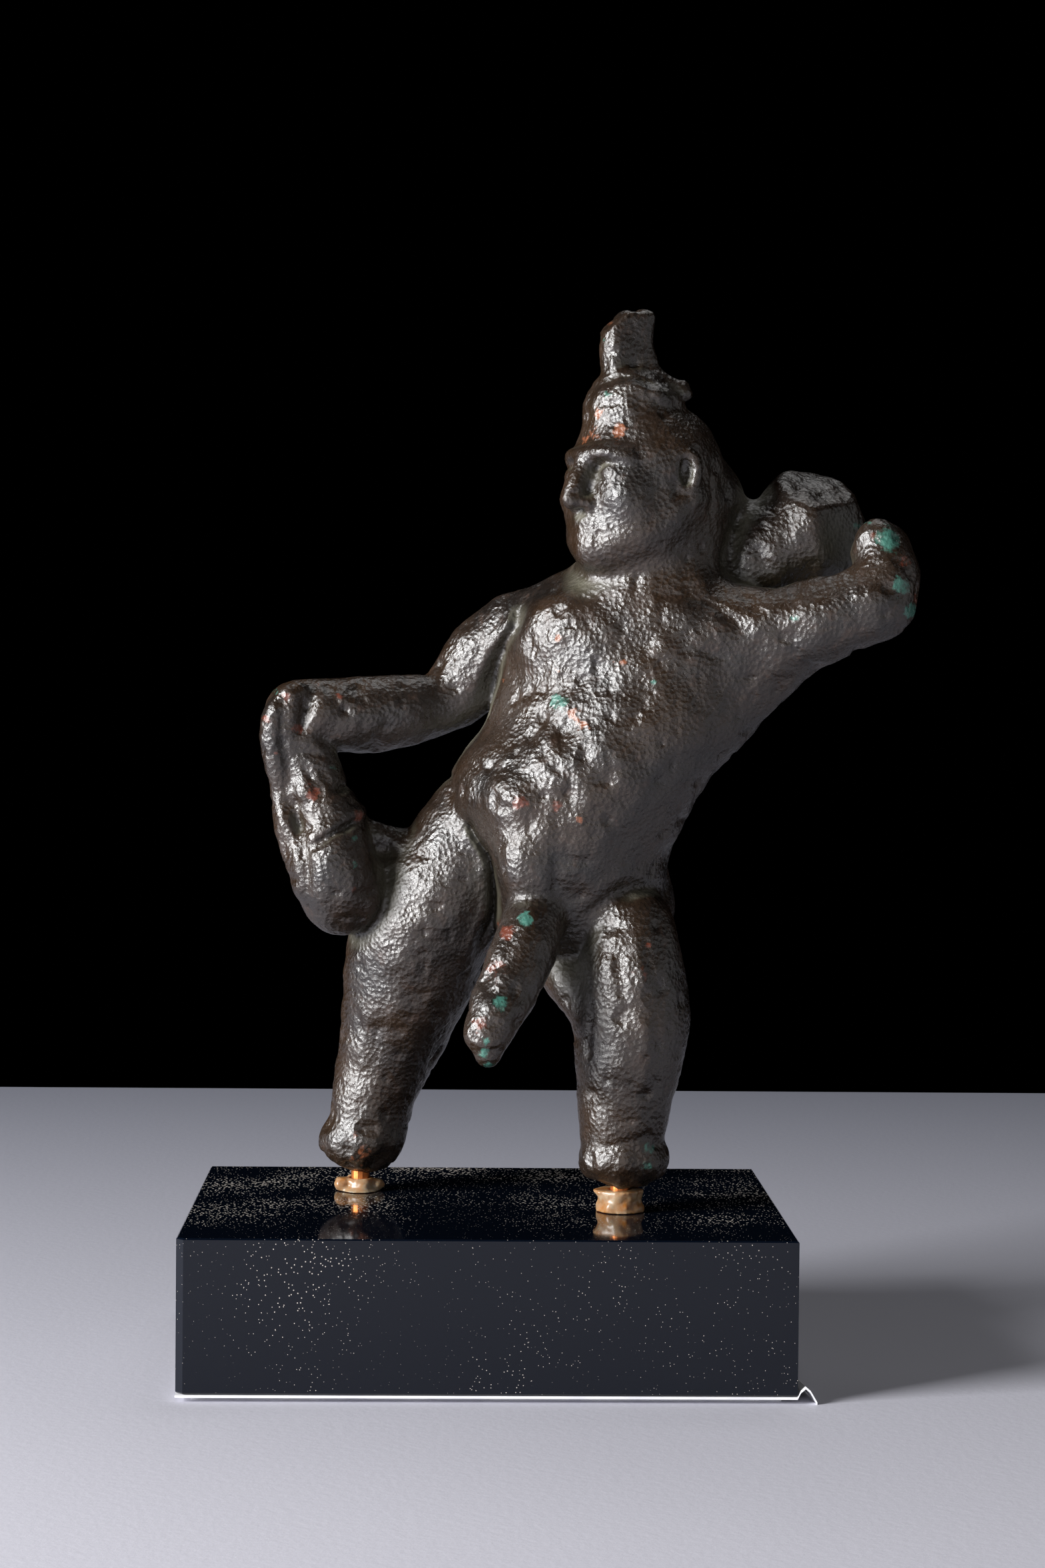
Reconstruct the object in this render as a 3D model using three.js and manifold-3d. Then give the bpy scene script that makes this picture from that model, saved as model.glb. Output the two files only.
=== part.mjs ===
// Bronze dwarf figurine on a small black plinth.
// Millimetres, +Z up. The origin is the middle of the underside that it rests on, +X is the
// viewer's right, and the figure faces -Y and a little to the viewer's left.
// The figure is one casting. It is worked out as a distance field: limbs are tapering rods through
// a few stations, the trunk is a stack of ovals, and eggs, cuts and drawn lines shape the rest.
// Left and right are the viewer's.
import * as THREE from 'three';
import Module from 'manifold-3d';
import { mergeVertices } from 'three/addons/utils/BufferGeometryUtils.js';

// Driving dimensions
const plinthWide = 50.4;
const plinthDeep = 38;
const plinthHigh = 12.65;
const plinthChamfer = 0.12;
const plinthCorner = 0.55;
const filmThick = 0.2;
const filmLip = 1.5;
const filmLipHigh = 1.5;
const backingHigh = 0.4;
const backingInset = 1.2;
const pinRadius = 0.8;
const pinInPlinth = 5;
const pinInLeg = 4;
const gap = 0.3;
const seam = 0.05;
const bodyTurn = 22;
const headTurn = 54;
const headNod = 3;
const headAt = [13.2, -2.0, 75.6];
const cell = 0.78;
const figureTriangles = 8500;
const figureRise = 0.6;

// The plinth's top, and where each leg stands: x, y, and the height of its broken underside.
// The figure's own heights below are all lower by figureRise than it stands.
const plinthTop = backingHigh + filmThick + seam + plinthHigh;
const legs = {
  left: { x: -11.0, y: 5.4, foot: 14.8, pin: 'pin_left', glue: 'glue_left' },
  right: { x: 11.4, y: -4.7, foot: 15.5, pin: 'pin_right', glue: 'glue_right' },
};

const clamp = THREE.MathUtils.clamp;
const radians = THREE.MathUtils.degToRad;
const dot = (a, b) => a[0] * b[0] + a[1] * b[1] + a[2] * b[2];

// A Catmull-Rom curve through rows of numbers
function smoothPath(points, parts) {
  if (points.length < 3) return points;
  const extend = (a, b) => a.map((v, i) => 2 * v - b[i]);
  const last = points.length - 1;
  const p = [extend(points[0], points[1]), ...points, extend(points[last], points[last - 1])];
  const rows = [];
  for (let i = 1; i <= last; i++) {
    for (let part = 0; part < parts; part++) {
      const t = part / parts;
      rows.push(p[i].map((b, n) => {
        const [a, c, d] = [p[i - 1][n], p[i + 1][n], p[i + 2][n]];
        return 0.5 * (2 * b + (c - a) * t + (2 * a - 5 * b + 4 * c - d) * t * t + (3 * b - a - 3 * c + d) * t ** 3);
      }));
    }
  }
  return [...rows, points[last]];
}

// A part's own across, forward and up directions, turned to the viewer's left, leant and nodded
function tilted(turn = 0, lean = 0, nod = 0) {
  const [t, l, n] = [turn, lean, nod].map(radians);
  let across = [Math.cos(t), -Math.sin(t), 0];
  let forward = [-Math.sin(t), -Math.cos(t), 0];
  let up = [0, 0, 1];
  const turned = (a, b, angle) => a.map((v, i) => v * Math.cos(angle) - b[i] * Math.sin(angle));
  [forward, up] = [turned(forward, up, n), turned(up, forward, -n)];
  [across, up] = [turned(across, up, l), turned(up, across, -l)];
  return [across, forward, up];
}

// A rod that tapers from station to station: x, y, z and radius
function limb(path) {
  const rows = smoothPath(path, 4);
  const low = [0, 1, 2].map((i) => Math.min(...rows.map((r) => r[i] - r[3])));
  const high = [0, 1, 2].map((i) => Math.max(...rows.map((r) => r[i] + r[3])));
  const distance = (x, y, z) => {
    let near = Infinity;
    for (let i = 1; i < rows.length; i++) {
      const [a, b] = [rows[i - 1], rows[i]];
      const run = [b[0] - a[0], b[1] - a[1], b[2] - a[2]];
      const from = [x - a[0], y - a[1], z - a[2]];
      const t = clamp(dot(from, run) / Math.max(dot(run, run), 1e-6), 0, 1);
      const away = Math.hypot(from[0] - t * run[0], from[1] - t * run[1], from[2] - t * run[2]);
      near = Math.min(near, away - a[3] - t * (b[3] - a[3]));
    }
    return near;
  };
  return { low, high, distance };
}

// An egg: centre, radii across, forward and up, and its own directions
function mass(centre, radii, axes = tilted()) {
  const reach = [0, 1, 2].map((i) => Math.hypot(...axes.map((axis, n) => axis[i] * radii[n])));
  const distance = (x, y, z) => {
    const from = [x - centre[0], y - centre[1], z - centre[2]];
    const along = axes.map((axis, n) => dot(axis, from) / radii[n]);
    const size = Math.hypot(...along);
    const slope = Math.hypot(...along.map((v, n) => v / radii[n])) + 1e-6;
    return size * (size - 1) / slope;
  };
  return {
    low: centre.map((v, i) => v - reach[i]),
    high: centre.map((v, i) => v + reach[i]),
    distance,
  };
}

// Level ovals in a stack: height, middle x, middle y, half width, depth in front, depth behind
function trunk(sections, turn) {
  const rows = smoothPath(sections, 6);
  const [across, forward] = tilted(turn);
  const [bottom, top] = [rows[0][0], rows[rows.length - 1][0]];
  const distance = (x, y, z) => {
    const above = rows.findIndex((r) => r[0] > z);
    const i = above < 0 ? rows.length - 1 : Math.max(above, 1);
    const t = clamp((z - rows[i - 1][0]) / (rows[i][0] - rows[i - 1][0]), 0, 1);
    const [, cx, cy, wide, front, behind] = rows[i].map((v, n) => rows[i - 1][n] + t * (v - rows[i - 1][n]));
    const u = (x - cx) * across[0] + (y - cy) * across[1];
    const v = (x - cx) * forward[0] + (y - cy) * forward[1];
    const deep = v > 0 ? front : behind;
    const size = Math.hypot(u / wide, v / deep);
    const slope = Math.hypot(u / wide ** 2, v / deep ** 2) + 1e-6;
    return smoothMax(size * (size - 1) / slope, Math.max(bottom - z, z - top), 3);
  };
  const widest = Math.max(...rows.map((r) => Math.max(...r.slice(3))));
  const [xs, ys] = [rows.map((r) => r[1]), rows.map((r) => r[2])];
  return {
    low: [Math.min(...xs) - widest, Math.min(...ys) - widest, bottom],
    high: [Math.max(...xs) + widest, Math.max(...ys) + widest, top],
    distance,
  };
}

// Everything on the side of a plane that its normal points to, inside a box
function slab(point, normal, low, high) {
  const size = Math.hypot(...normal);
  const distance = (x, y, z) => -dot([x - point[0], y - point[1], z - point[2]], normal) / size;
  return { low, high, distance };
}

// A form trimmed by a plane: what lies on the side that the normal points to is taken away
function cutOff(shape, point, normal, soft = 0.5) {
  const size = Math.hypot(...normal);
  const distance = (x, y, z) => {
    const past = dot([x - point[0], y - point[1], z - point[2]], normal) / size;
    return smoothMax(shape.distance(x, y, z), past, soft);
  };
  return { ...shape, distance };
}

// A line drawn in the x-z plane, and how near a place comes to it; it fades at its two ends
function drawn(points, width, front, back) {
  const rows = smoothPath(points, 5);
  const ends = [rows[0], rows[rows.length - 1]];
  const reach = 2.2 * width;
  const distance = (x, y, z) => {
    let near = Infinity;
    for (let i = 1; i < rows.length; i++) {
      const [a, b] = [rows[i - 1], rows[i]];
      const run = [b[0] - a[0], b[1] - a[1]];
      const t = clamp(((x - a[0]) * run[0] + (z - a[1]) * run[1]) / (run[0] ** 2 + run[1] ** 2), 0, 1);
      near = Math.min(near, Math.hypot(x - a[0] - t * run[0], z - a[1] - t * run[1]));
    }
    const fromEnd = Math.min(...ends.map((end) => Math.hypot(x - end[0], z - end[1])));
    return Math.hypot(near, 1.5 * width * Math.max(1 - fromEnd / 2, 0));
  };
  return {
    low: [Math.min(...rows.map((r) => r[0])) - reach, front, Math.min(...rows.map((r) => r[1])) - reach],
    high: [Math.max(...rows.map((r) => r[0])) + reach, back, Math.max(...rows.map((r) => r[1])) + reach],
    distance,
  };
}

function smoothMin(a, b, soft) {
  const near = Math.max(soft - Math.abs(a - b), 0) / soft;
  return Math.min(a, b) - near * near * soft / 4;
}

function smoothMax(a, b, soft) {
  return -smoothMin(-a, -b, soft);
}

// A solid form: steps that add, carve or draw, one after another, as a sculptor works
class Form {
  constructor() {
    this.steps = [];
  }

  step(shape, reach, change) {
    const low = shape.low.map((v) => v - reach);
    const high = shape.high.map((v) => v + reach);
    this.steps.push({ low, high, distance: shape.distance, change });
  }

  add(shape, soft) {
    this.step(shape, soft + 1, (d, e) => smoothMin(d, e, soft));
  }

  carve(shape, soft) {
    this.step(shape, soft + 1, (d, e) => smoothMax(d, -e, soft));
  }

  // A groove where depth is above 0, a ridge where it is below
  draw(points, width, depth, front, back) {
    this.step(drawn(points, width, front, back), 0, (d, e) => d + depth * Math.exp(-((e / width) ** 2)));
  }

  // A round swelling, or a hollow where height is below 0, on surfaces in front
  dab(x, z, radius, height) {
    const reach = 2.4 * radius;
    const bell = { low: [x - reach, -16, z - reach], high: [x + reach, -2, z + reach] };
    bell.distance = (px, py, pz) => Math.hypot(px - x, pz - z);
    this.step(bell, 0, (d, e) => d - height * Math.exp(-((e / radius) ** 2)));
  }

  distance(x, y, z) {
    let d = 9;
    for (const { low, high, distance, change } of this.steps) {
      if (x < low[0] || y < low[1] || z < low[2] || x > high[0] || y > high[1] || z > high[2]) continue;
      d = change(d, distance(x, y, z));
    }
    return d;
  }

  slope(x, y, z) {
    const h = 0.05;
    return [
      (this.distance(x + h, y, z) - this.distance(x - h, y, z)) / (2 * h),
      (this.distance(x, y + h, z) - this.distance(x, y - h, z)) / (2 * h),
      (this.distance(x, y, z + h) - this.distance(x, y, z - h)) / (2 * h),
    ];
  }
}

// The trunk leans from the hips to the raised shoulder
function shapeTrunk(form) {
  form.add(trunk([
    [31.2, 6.8, 0.4, 2.2, 2.6, 3.6],
    [33.5, 7.0, 0.6, 4.0, 4.0, 5.5],
    [36.5, 7.8, 0.6, 7.2, 6.6, 7.6],
    [40.0, 7.9, 0.5, 7.5, 8.4, 8.2],
    [42.5, 7.8, 0.4, 7.8, 9.4, 8.0],
    [45.0, 7.5, 0.4, 9.3, 9.9, 7.6],
    [48.0, 7.5, 0.4, 10.9, 10.1, 7.4],
    [51.0, 8.8, 0.4, 11.7, 10.0, 7.5],
    [54.0, 10.9, 0.4, 11.7, 9.6, 7.8],
    [57.5, 12.0, 0.4, 11.8, 8.8, 8.0],
    [61.0, 12.4, 0.4, 11.2, 7.9, 7.8],
    [64.5, 12.8, 0.4, 9.6, 6.8, 7.2],
    [67.5, 13.4, 0.4, 7.0, 5.6, 6.2],
  ], bodyTurn), 1);
  // Buttocks, chest and belly
  form.add(mass([11.8, 3.0, 38.4], [4.6, 4.8, 5.0], tilted(bodyTurn)), 1.5);
  form.add(mass([4.3, 6.1, 38.4], [4.6, 4.8, 5.0], tilted(bodyTurn)), 1.5);
  form.add(mass([18.3, -4.5, 62.0], [3.4, 3.0, 2.3], tilted(-16, 16)), 0.8);
  form.add(mass([6.8, -2.9, 61.8], [4.9, 3.4, 3.9], tilted(30)), 2);
  form.add(mass([2.5, -6.4, 47.7], [2.6, 2.5, 2.4]), 1.5);
  form.add(mass([3.4, -6.4, 42.4], [2.6, 2.8, 4.0], tilted(0, -10)), 1.5);
  // Neck, and the slope down to the lowered shoulder
  form.add(limb([[13.4, -0.2, 64, 6.4], [14.2, -0.6, 69, 6.1], [15.0, -0.9, 73, 5.6]]), 2);
  form.add(limb([[11.0, 1.0, 64.0, 4.0], [6.0, 2.6, 63.0, 3.7], [2.4, 3.8, 62.6, 3.2]]), 2.5);
}

// The left arm hangs from its shoulder and reaches out level; the right one is bent up
function shapeArms(form) {
  form.add(limb([
    [2.2, 4.0, 62.4, 3.2], [-0.4, 4.6, 60.3, 3.3], [-2.3, 5.0, 57.4, 3.1], [-4.7, 4.5, 55.8, 2.7],
    [-8.3, 3.4, 55.2, 3.2], [-12.5, 2.4, 54.8, 3.3], [-15.4, 1.6, 55.0, 2.9],
  ]), 0.6);
  form.add(limb([
    [17.0, -2.6, 61.6, 4.4], [21.5, -4.0, 61.9, 4.1], [25.1, -5.0, 62.3, 3.9], [28.6, -6.0, 63.4, 3.6],
    [31.4, -6.6, 64.5, 3.2],
  ]), 3);
  form.add(limb([[32.5, -6.6, 64.9, 3.4], [33.4, -6.2, 67.2, 2.8], [33.2, -5.2, 69.0, 2.65]]), 0.8);
  const fist = limb([[33.1, -6.2, 65.6, 2.5], [32.7, -5.9, 70.1, 1.85]]);
  form.add(cutOff(fist, [32, -8.4, 68], [-0.15, -1, 0.1]), 0.4);
  form.add(limb([[19.5, -3.0, 54.5, 2.5], [23.7, -4.0, 59.5, 3.0]]), 2);
}

// The load on the raised shoulder: a bulging mass, broken off aslant on top and flat on its right
function shapeLoad(form) {
  form.add(limb([[16.0, 1.6, 66.0, 4.6], [21.0, 1.4, 68.2, 4.4], [24.4, 0.8, 69.4, 4.5]]), 0.8);
  const bulge = cutOff(mass([27.6, 1.9, 71.1], [4.9, 6.0, 5.8]), [27.6, -4.0, 72.9], [0.22, -0.51, 1.0]);
  form.add(cutOff(bulge, [27.7, -4.1, 70.0], [0.67, -0.74, 0], 0.4), 0.9);
}

// Both legs end in rounded stumps below the knee
function shapeLegs(form) {
  form.add(limb([
    [-0.6, 3.0, 45.4, 4.8], [-2.2, 3.4, 42.0, 5.6], [-4.0, 3.9, 38.8, 6.1], [-5.9, 4.6, 35.4, 6.2],
    [-6.9, 5.3, 31.6, 5.7], [-8.0, 5.9, 27.8, 4.9], [-9.0, 6.0, 24.0, 4.1], [-10.0, 5.8, 20.8, 3.6],
    [-10.3, 5.6, 17.8, 3.3],
  ]), 0.6);
  form.add(mass([-11.0, 5.7, 17.2], [3.7, 3.6, 2.7]), 0.6);
  form.add(limb([
    [12.2, -4.0, 36.8, 3.8], [12.2, -4.7, 34.2, 4.4], [12.3, -4.9, 31.5, 4.7], [12.3, -4.9, 28.8, 4.85],
    [12.0, -4.8, 25.4, 4.5], [11.8, -4.6, 22.2, 4.05], [11.6, -4.5, 19.4, 3.6],
  ]), 0.6);
  form.add(mass([11.8, -4.5, 17.2], [3.9, 3.7, 2.5]), 0.6);
  form.add(limb([[6.6, -1.5, 33.6, 2.6], [8.3, -3.0, 31.4, 2.6], [9.9, -4.0, 29.0, 2.5]]), 0.8);
  form.add(limb([
    [4.2, -5.6, 38.8, 2.5], [3.0, -8.4, 35.6, 2.85], [1.6, -10.4, 32.3, 2.7], [0.6, -11.8, 30.4, 2.4],
    [-0.1, -12.6, 28.7, 2.05],
  ]), 0.8);
  form.add(limb([[0.1, -12.5, 28.8, 1.5], [-0.1, -13.0, 27.2, 1.15]]), 0.3);
}

// The hand and curled fingers, and the bag that hangs from them against the thigh
function shapeBag(form) {
  form.add(limb([[-15.4, 1.4, 55.0, 2.8], [-17.0, 1.0, 55.2, 2.5]]), 0.8);
  form.add(limb([[-17.4, -0.8, 56.2, 1.2], [-18.5, -0.9, 54.4, 1.25], [-18.5, -0.6, 51.6, 1.2], [-17.9, -0.2, 49.2, 1.0]]), 0.4);
  form.add(limb([[-16.5, -0.6, 56.8, 0.9], [-17.0, -0.9, 54.6, 1.0], [-17.1, -0.6, 52.2, 0.9]]), 0.4);
  form.add(limb([[-16.2, 1.0, 53.0, 2.5], [-15.4, 0.8, 50.0, 2.6], [-14.6, 0.6, 47.8, 2.7], [-13.8, 0.4, 45.9, 3.0]]), 0.5);
  form.add(limb([[-13.7, 0.4, 43.7, 3.5], [-13.2, 0.4, 41.4, 4.0], [-12.5, 0.8, 39.4, 3.7]]), 0.4);
  form.add(limb([[-17.6, 0.4, 48.8, 1.3], [-17.2, 0.2, 45.6, 1.5], [-16.2, 0.0, 42.4, 1.5], [-15.2, 0.0, 39.6, 1.2]]), 0.3);
  // Web of metal between the bag and the hip
  form.add(limb([[-11.4, 1.8, 44.8, 1.3], [-9.3, 2.3, 43.9, 1.5], [-7.4, 2.8, 43.0, 1.9]]), 0.6);
  form.add(limb([[-9.2, 2.6, 42.6, 1.7], [-8.9, 2.4, 41.0, 1.9], [-9.4, 2.0, 38.4, 1.9]]), 0.6);
}

// The head has directions of its own: across to the right, forward, and up from its middle
const headAxes = tilted(headTurn, 0, headNod);
const onHead = (rows) => rows.map(([across, forward, up, ...rest]) => [
  ...headAt.map((v, i) => v + across * headAxes[0][i] + forward * headAxes[1][i] + up * headAxes[2][i]),
  ...rest,
]);
const headLimb = (rows) => limb(onHead(rows));
const headMass = (centre, radii) => mass(onHead([centre])[0], radii, headAxes);

function shapeHead(form) {
  form.add(headMass([0, -0.4, -0.2], [6.2, 6.7, 6.3]), 0.6);
  form.add(headMass([0, 2.2, -2.4], [4.9, 4.8, 5.6]), 1);
  form.add(headMass([0, -5.5, -3.0], [4.7, 4.3, 4.8]), 1.5);
  form.add(headLimb([[0, 0.8, 2.2, 5.6], [0, 1.6, 5.3, 4.0]]), 1.5);
  for (const s of [1, -1]) {
    // Jaw, brow, eye, cheek, side of the nose
    form.add(headLimb([[s * 4.6, -0.2, -2.4, 1.8], [s * 3.6, 1.8, -4.2, 2.3], [s * 2.0, 3.8, -5.1, 2.5], [0, 4.6, -5.4, 2.5]]), 1.5);
    form.add(headLimb([[s * 3.7, 4.9, 1.5, 0.6], [s * 2.2, 6.2, 1.8, 0.7], [0, 6.5, 1.6, 0.7]]), 0.8);
    form.carve(headMass([s * 2.2, 7.2, 0.4], [1.5, 1.5, 0.9]), 0.8);
    form.add(headMass([s * 2.2, 5.5, 0.3], [1.3, 1.1, 0.75]), 0.15);
    form.add(headMass([s * 2.9, 4.6, -1.9], [1.9, 1.9, 1.8]), 1.5);
    form.add(headMass([s * 0.95, 7.0, -2.3], [0.65, 0.9, 0.6]), 0.5);
    // Ear: a raised rim round a hollow
    form.add(headLimb([
      [s * 5.7, 1.2, 1.5, 0.35], [s * 6.2, 0.3, 1.4, 0.45], [s * 6.5, -0.2, 0.6, 0.5], [s * 6.4, -0.1, -0.6, 0.5],
      [s * 6.0, 0.6, -1.6, 0.45], [s * 5.6, 1.1, -1.9, 0.3],
    ]), 0.3);
    form.carve(headMass([s * 6.3, 0.8, 0], [0.9, 0.55, 1.25]), 0.3);
  }
  // Nose, lips, chin
  form.add(headLimb([[0, 6.5, 1.4, 0.7], [0, 7.6, -0.5, 0.85], [0, 8.2, -1.9, 0.95]]), 0.6);
  form.add(headLimb([[1.6, 6.0, -4.1, 0.35], [0.7, 6.9, -3.8, 0.5], [0, 7.0, -3.9, 0.45], [-0.7, 6.9, -3.8, 0.5], [-1.6, 6.0, -4.1, 0.35]]), 0.25);
  form.add(headLimb([[1.3, 6.1, -4.7, 0.35], [0, 6.9, -4.85, 0.55], [-1.3, 6.1, -4.7, 0.35]]), 0.25);
  form.add(headMass([0, 6.0, -6.3], [1.6, 1.3, 1.3]), 1);
}

// The cap's crown, the stub of its broken peak, flat on the right, and the knob behind
function shapeCap(form) {
  form.add(mass([12.6, -3.0, 81.9], [4.1, 4.1, 1.5], tilted(0, 14, -12)), 0.4);
  let stub = limb([[12.3, -3.1, 82.4, 2.9], [11.7, -3.2, 84.4, 2.5], [11.35, -3.2, 86.6, 2.25], [11.45, -3.2, 90.0, 2.3]]);
  stub = cutOff(stub, [10.6, -5.0, 87.0], [0.38, -0.93, 0], 0.35);
  stub = cutOff(stub, [11.5, -3.2, 89.4], [-0.05, -0.12, 1.0], 0.2);
  form.add(cutOff(stub, [9.7, -3.2, 88.2], [-0.8, -0.25, 1.0], 0.25), 0.25);
  form.add(limb([[13.6, -3.0, 83.6, 1.2], [15.8, -2.9, 82.8, 0.85]]), 0.3);
  form.add(mass([16.3, -3.0, 82.5], [0.75, 0.8, 0.6]), 0.15);
}

// Folds and grooves that show from a step away, each as x and z
function drawLines(form) {
  // Fold between the belly and the left thigh
  form.draw([[-2.1, 46.9], [-1.1, 44.6], [-0.1, 43.1], [0.4, 41.6], [0.5, 39.2], [0.3, 37.5], [-0.5, 35.8], [-1.2, 33.8]], 0.6, 0.5, -14, 4);
  // Armpit of the lowered arm
  form.draw([[2.6, 65.3], [2.4, 63.0], [1.2, 60.8], [0.2, 58.6], [-0.4, 56.3]], 0.8, 0.6, -10, 3);
  // Muscle over the right side of the chest
  form.draw([[13.5, 65.1], [15.2, 65.2], [17.4, 65.0], [18.9, 64.1], [20.4, 63.1], [21.3, 62.2]], 0.5, 0.35, -14, -2);
  // Round top of the right thigh
  form.draw([[8.0, 37.4], [8.7, 38.5], [10.1, 39.8], [11.9, 40.5], [14.0, 40.3], [15.1, 39.4]], 0.6, 0.5, -14, 0);
  // Rim of the cap
  form.draw([[8.1, 82.5], [9.2, 83.1], [10.9, 83.5], [13.2, 83.1], [14.9, 82.1], [16.6, 80.8]], 0.4, 0.4, -14, 0);
  // Gap between the neck and the load
  form.draw([[21.5, 73.4], [20.9, 71.0], [20.5, 68.5], [20.4, 66.8]], 0.7, 0.55, -14, 6);
  // Fingers, and the folds of the bag
  form.draw([[-14.9, 57.8], [-15.3, 56.2], [-16.2, 54.0], [-16.6, 52.2]], 0.5, 0.4, -14, 2);
  form.draw([[-17.0, 52.0], [-15.0, 51.5], [-13.5, 51.0]], 0.5, 0.3, -14, 2);
  form.draw([[-15.8, 42.9], [-14.9, 43.6], [-13.4, 44.6], [-12.1, 45.3], [-10.7, 46.1]], 0.5, 0.55, -14, 0);
  form.draw([[-17.6, 47.2], [-16.2, 45.1], [-15.7, 42.8], [-15.5, 40.4], [-15.7, 38.6]], 0.5, 0.4, -14, 0);
  form.draw([[-10.7, 46.1], [-10.1, 44.1], [-9.7, 41.5], [-9.3, 40.0]], 0.5, 0.4, -14, 2);
}

// Swellings and hollows of the belly, with the ring of the navel, and the pit in the bag's neck
function dabForms(form) {
  form.dab(6.0, 56.0, 1.0, 0.4);
  form.dab(5.5, 58.8, 0.9, 0.25);
  form.dab(2.4, 47.9, 0.9, 0.25);
  form.dab(6.2, 53.2, 1.9, 0.3);
  form.dab(6.2, 53.3, 1.0, -0.65);
  form.dab(8.9, 50.5, 1.4, -0.15);
  form.dab(-12.8, 48.4, 0.7, -0.7);
}

// The form's values on a grid of cubic cells
function sampled(form, low, high, size) {
  const count = low.map((v, i) => Math.ceil((high[i] - v) / size) + 1);
  const at = (i, j, k) => (i * count[1] + j) * count[2] + k;
  const values = new Float64Array(count[0] * count[1] * count[2]);
  for (let i = 0; i < count[0]; i++) {
    for (let j = 0; j < count[1]; j++) {
      for (let k = 0; k < count[2]; k++) {
        values[at(i, j, k)] = form.distance(low[0] + i * size, low[1] + j * size, low[2] + k * size);
      }
    }
  }
  return { low, size, count, at, values };
}

const corners = [0, 1, 2, 3, 4, 5, 6, 7].map((n) => [n & 1, (n >> 1) & 1, (n >> 2) & 1]);
const cellEdges = corners.flatMap((a, n) => corners.map((b, m) => [n, m]).filter(([, m]) => (
  m > n && Math.abs(a[0] - corners[m][0]) + Math.abs(a[1] - corners[m][1]) + Math.abs(a[2] - corners[m][2]) === 1)));

// True where the corners with this sign all hang together along the cell's edges
function inOnePiece(inside, sign) {
  const members = corners.map((c, n) => n).filter((n) => inside[n] === sign);
  if (!members.length) return true;
  const reached = new Set([members[0]]);
  for (let pass = 0; pass < 4; pass++) {
    for (const [a, b] of cellEdges) {
      if (inside[a] !== sign || inside[b] !== sign) continue;
      if (reached.has(a) || reached.has(b)) reached.add(a).add(b);
    }
  }
  return reached.size === members.length;
}

// Cells where the surface pinches to an edge or a point are filled, so that it stays a closed skin
function fillPinches({ count, at, values }) {
  let filled = 1;
  while (filled) {
    filled = 0;
    for (let i = 0; i < count[0] - 1; i++) {
      for (let j = 0; j < count[1] - 1; j++) {
        for (let k = 0; k < count[2] - 1; k++) {
          const nodes = corners.map(([a, b, c]) => at(i + a, j + b, k + c));
          const inside = nodes.map((n) => values[n] < 0);
          if (inside.every((v) => v === inside[0])) continue;
          const crossed = corners.some((c, n) => [0, 1, 2].some((axis) => {
            const [p, q] = [1 << ((axis + 1) % 3), 1 << ((axis + 2) % 3)];
            const face = [n, n ^ p, n ^ p ^ q, n ^ q].map((m) => inside[m]);
            return face[0] === face[2] && face[1] === face[3] && face[0] !== face[1];
          }));
          if (!crossed && inOnePiece(inside, true) && inOnePiece(inside, false)) continue;
          for (const n of nodes) values[n] = Math.min(values[n], -0.05);
          filled += 1;
        }
      }
    }
  }
}

// The skin: a vertex in each cell that the surface crosses, and a quad round each crossed edge
function skin(form, low, high, size) {
  const grid = sampled(form, low, high, size);
  fillPinches(grid);
  const { count, at, values } = grid;
  const vertexOf = new Map();
  const points = [];
  for (let i = 0; i < count[0] - 1; i++) {
    for (let j = 0; j < count[1] - 1; j++) {
      for (let k = 0; k < count[2] - 1; k++) {
        const value = corners.map(([a, b, c]) => values[at(i + a, j + b, k + c)]);
        const crossings = cellEdges.filter(([a, b]) => (value[a] < 0) !== (value[b] < 0));
        if (!crossings.length) continue;
        const sum = [0, 0, 0];
        for (const [a, b] of crossings) {
          const t = value[a] / (value[a] - value[b]);
          for (let n = 0; n < 3; n++) sum[n] += corners[a][n] + t * (corners[b][n] - corners[a][n]);
        }
        vertexOf.set(at(i, j, k), points.length);
        points.push([i, j, k].map((v, n) => low[n] + size * (v + sum[n] / crossings.length)));
      }
    }
  }
  const triangles = [];
  const steps = [at(1, 0, 0), at(0, 1, 0), at(0, 0, 1)];
  for (let i = 1; i < count[0] - 1; i++) {
    for (let j = 1; j < count[1] - 1; j++) {
      for (let k = 1; k < count[2] - 1; k++) {
        const here = at(i, j, k);
        for (let axis = 0; axis < 3; axis++) {
          const inside = values[here] < 0;
          if (inside === values[here + steps[axis]] < 0) continue;
          const [p, q] = [steps[(axis + 1) % 3], steps[(axis + 2) % 3]];
          const ring = [here - p - q, here - q, here, here - p].map((n) => vertexOf.get(n));
          if (!inside) ring.reverse();
          triangles.push([ring[0], ring[1], ring[2]], [ring[0], ring[2], ring[3]]);
        }
      }
    }
  }
  for (const point of points) settle(form, point, size / 2);
  return { points, triangles };
}

// A vertex slides down the field's slope on to the surface, by at most the given way
function settle(form, point, most) {
  const start = [...point];
  for (let pass = 0; pass < 3; pass++) {
    const d = form.distance(...point);
    const slope = form.slope(...point);
    const steep = Math.max(dot(slope, slope), 0.25);
    point.forEach((v, i) => {
      point[i] = clamp(v - d * slope[i] / steep, start[i] - most, start[i] + most);
    });
  }
}

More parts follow.
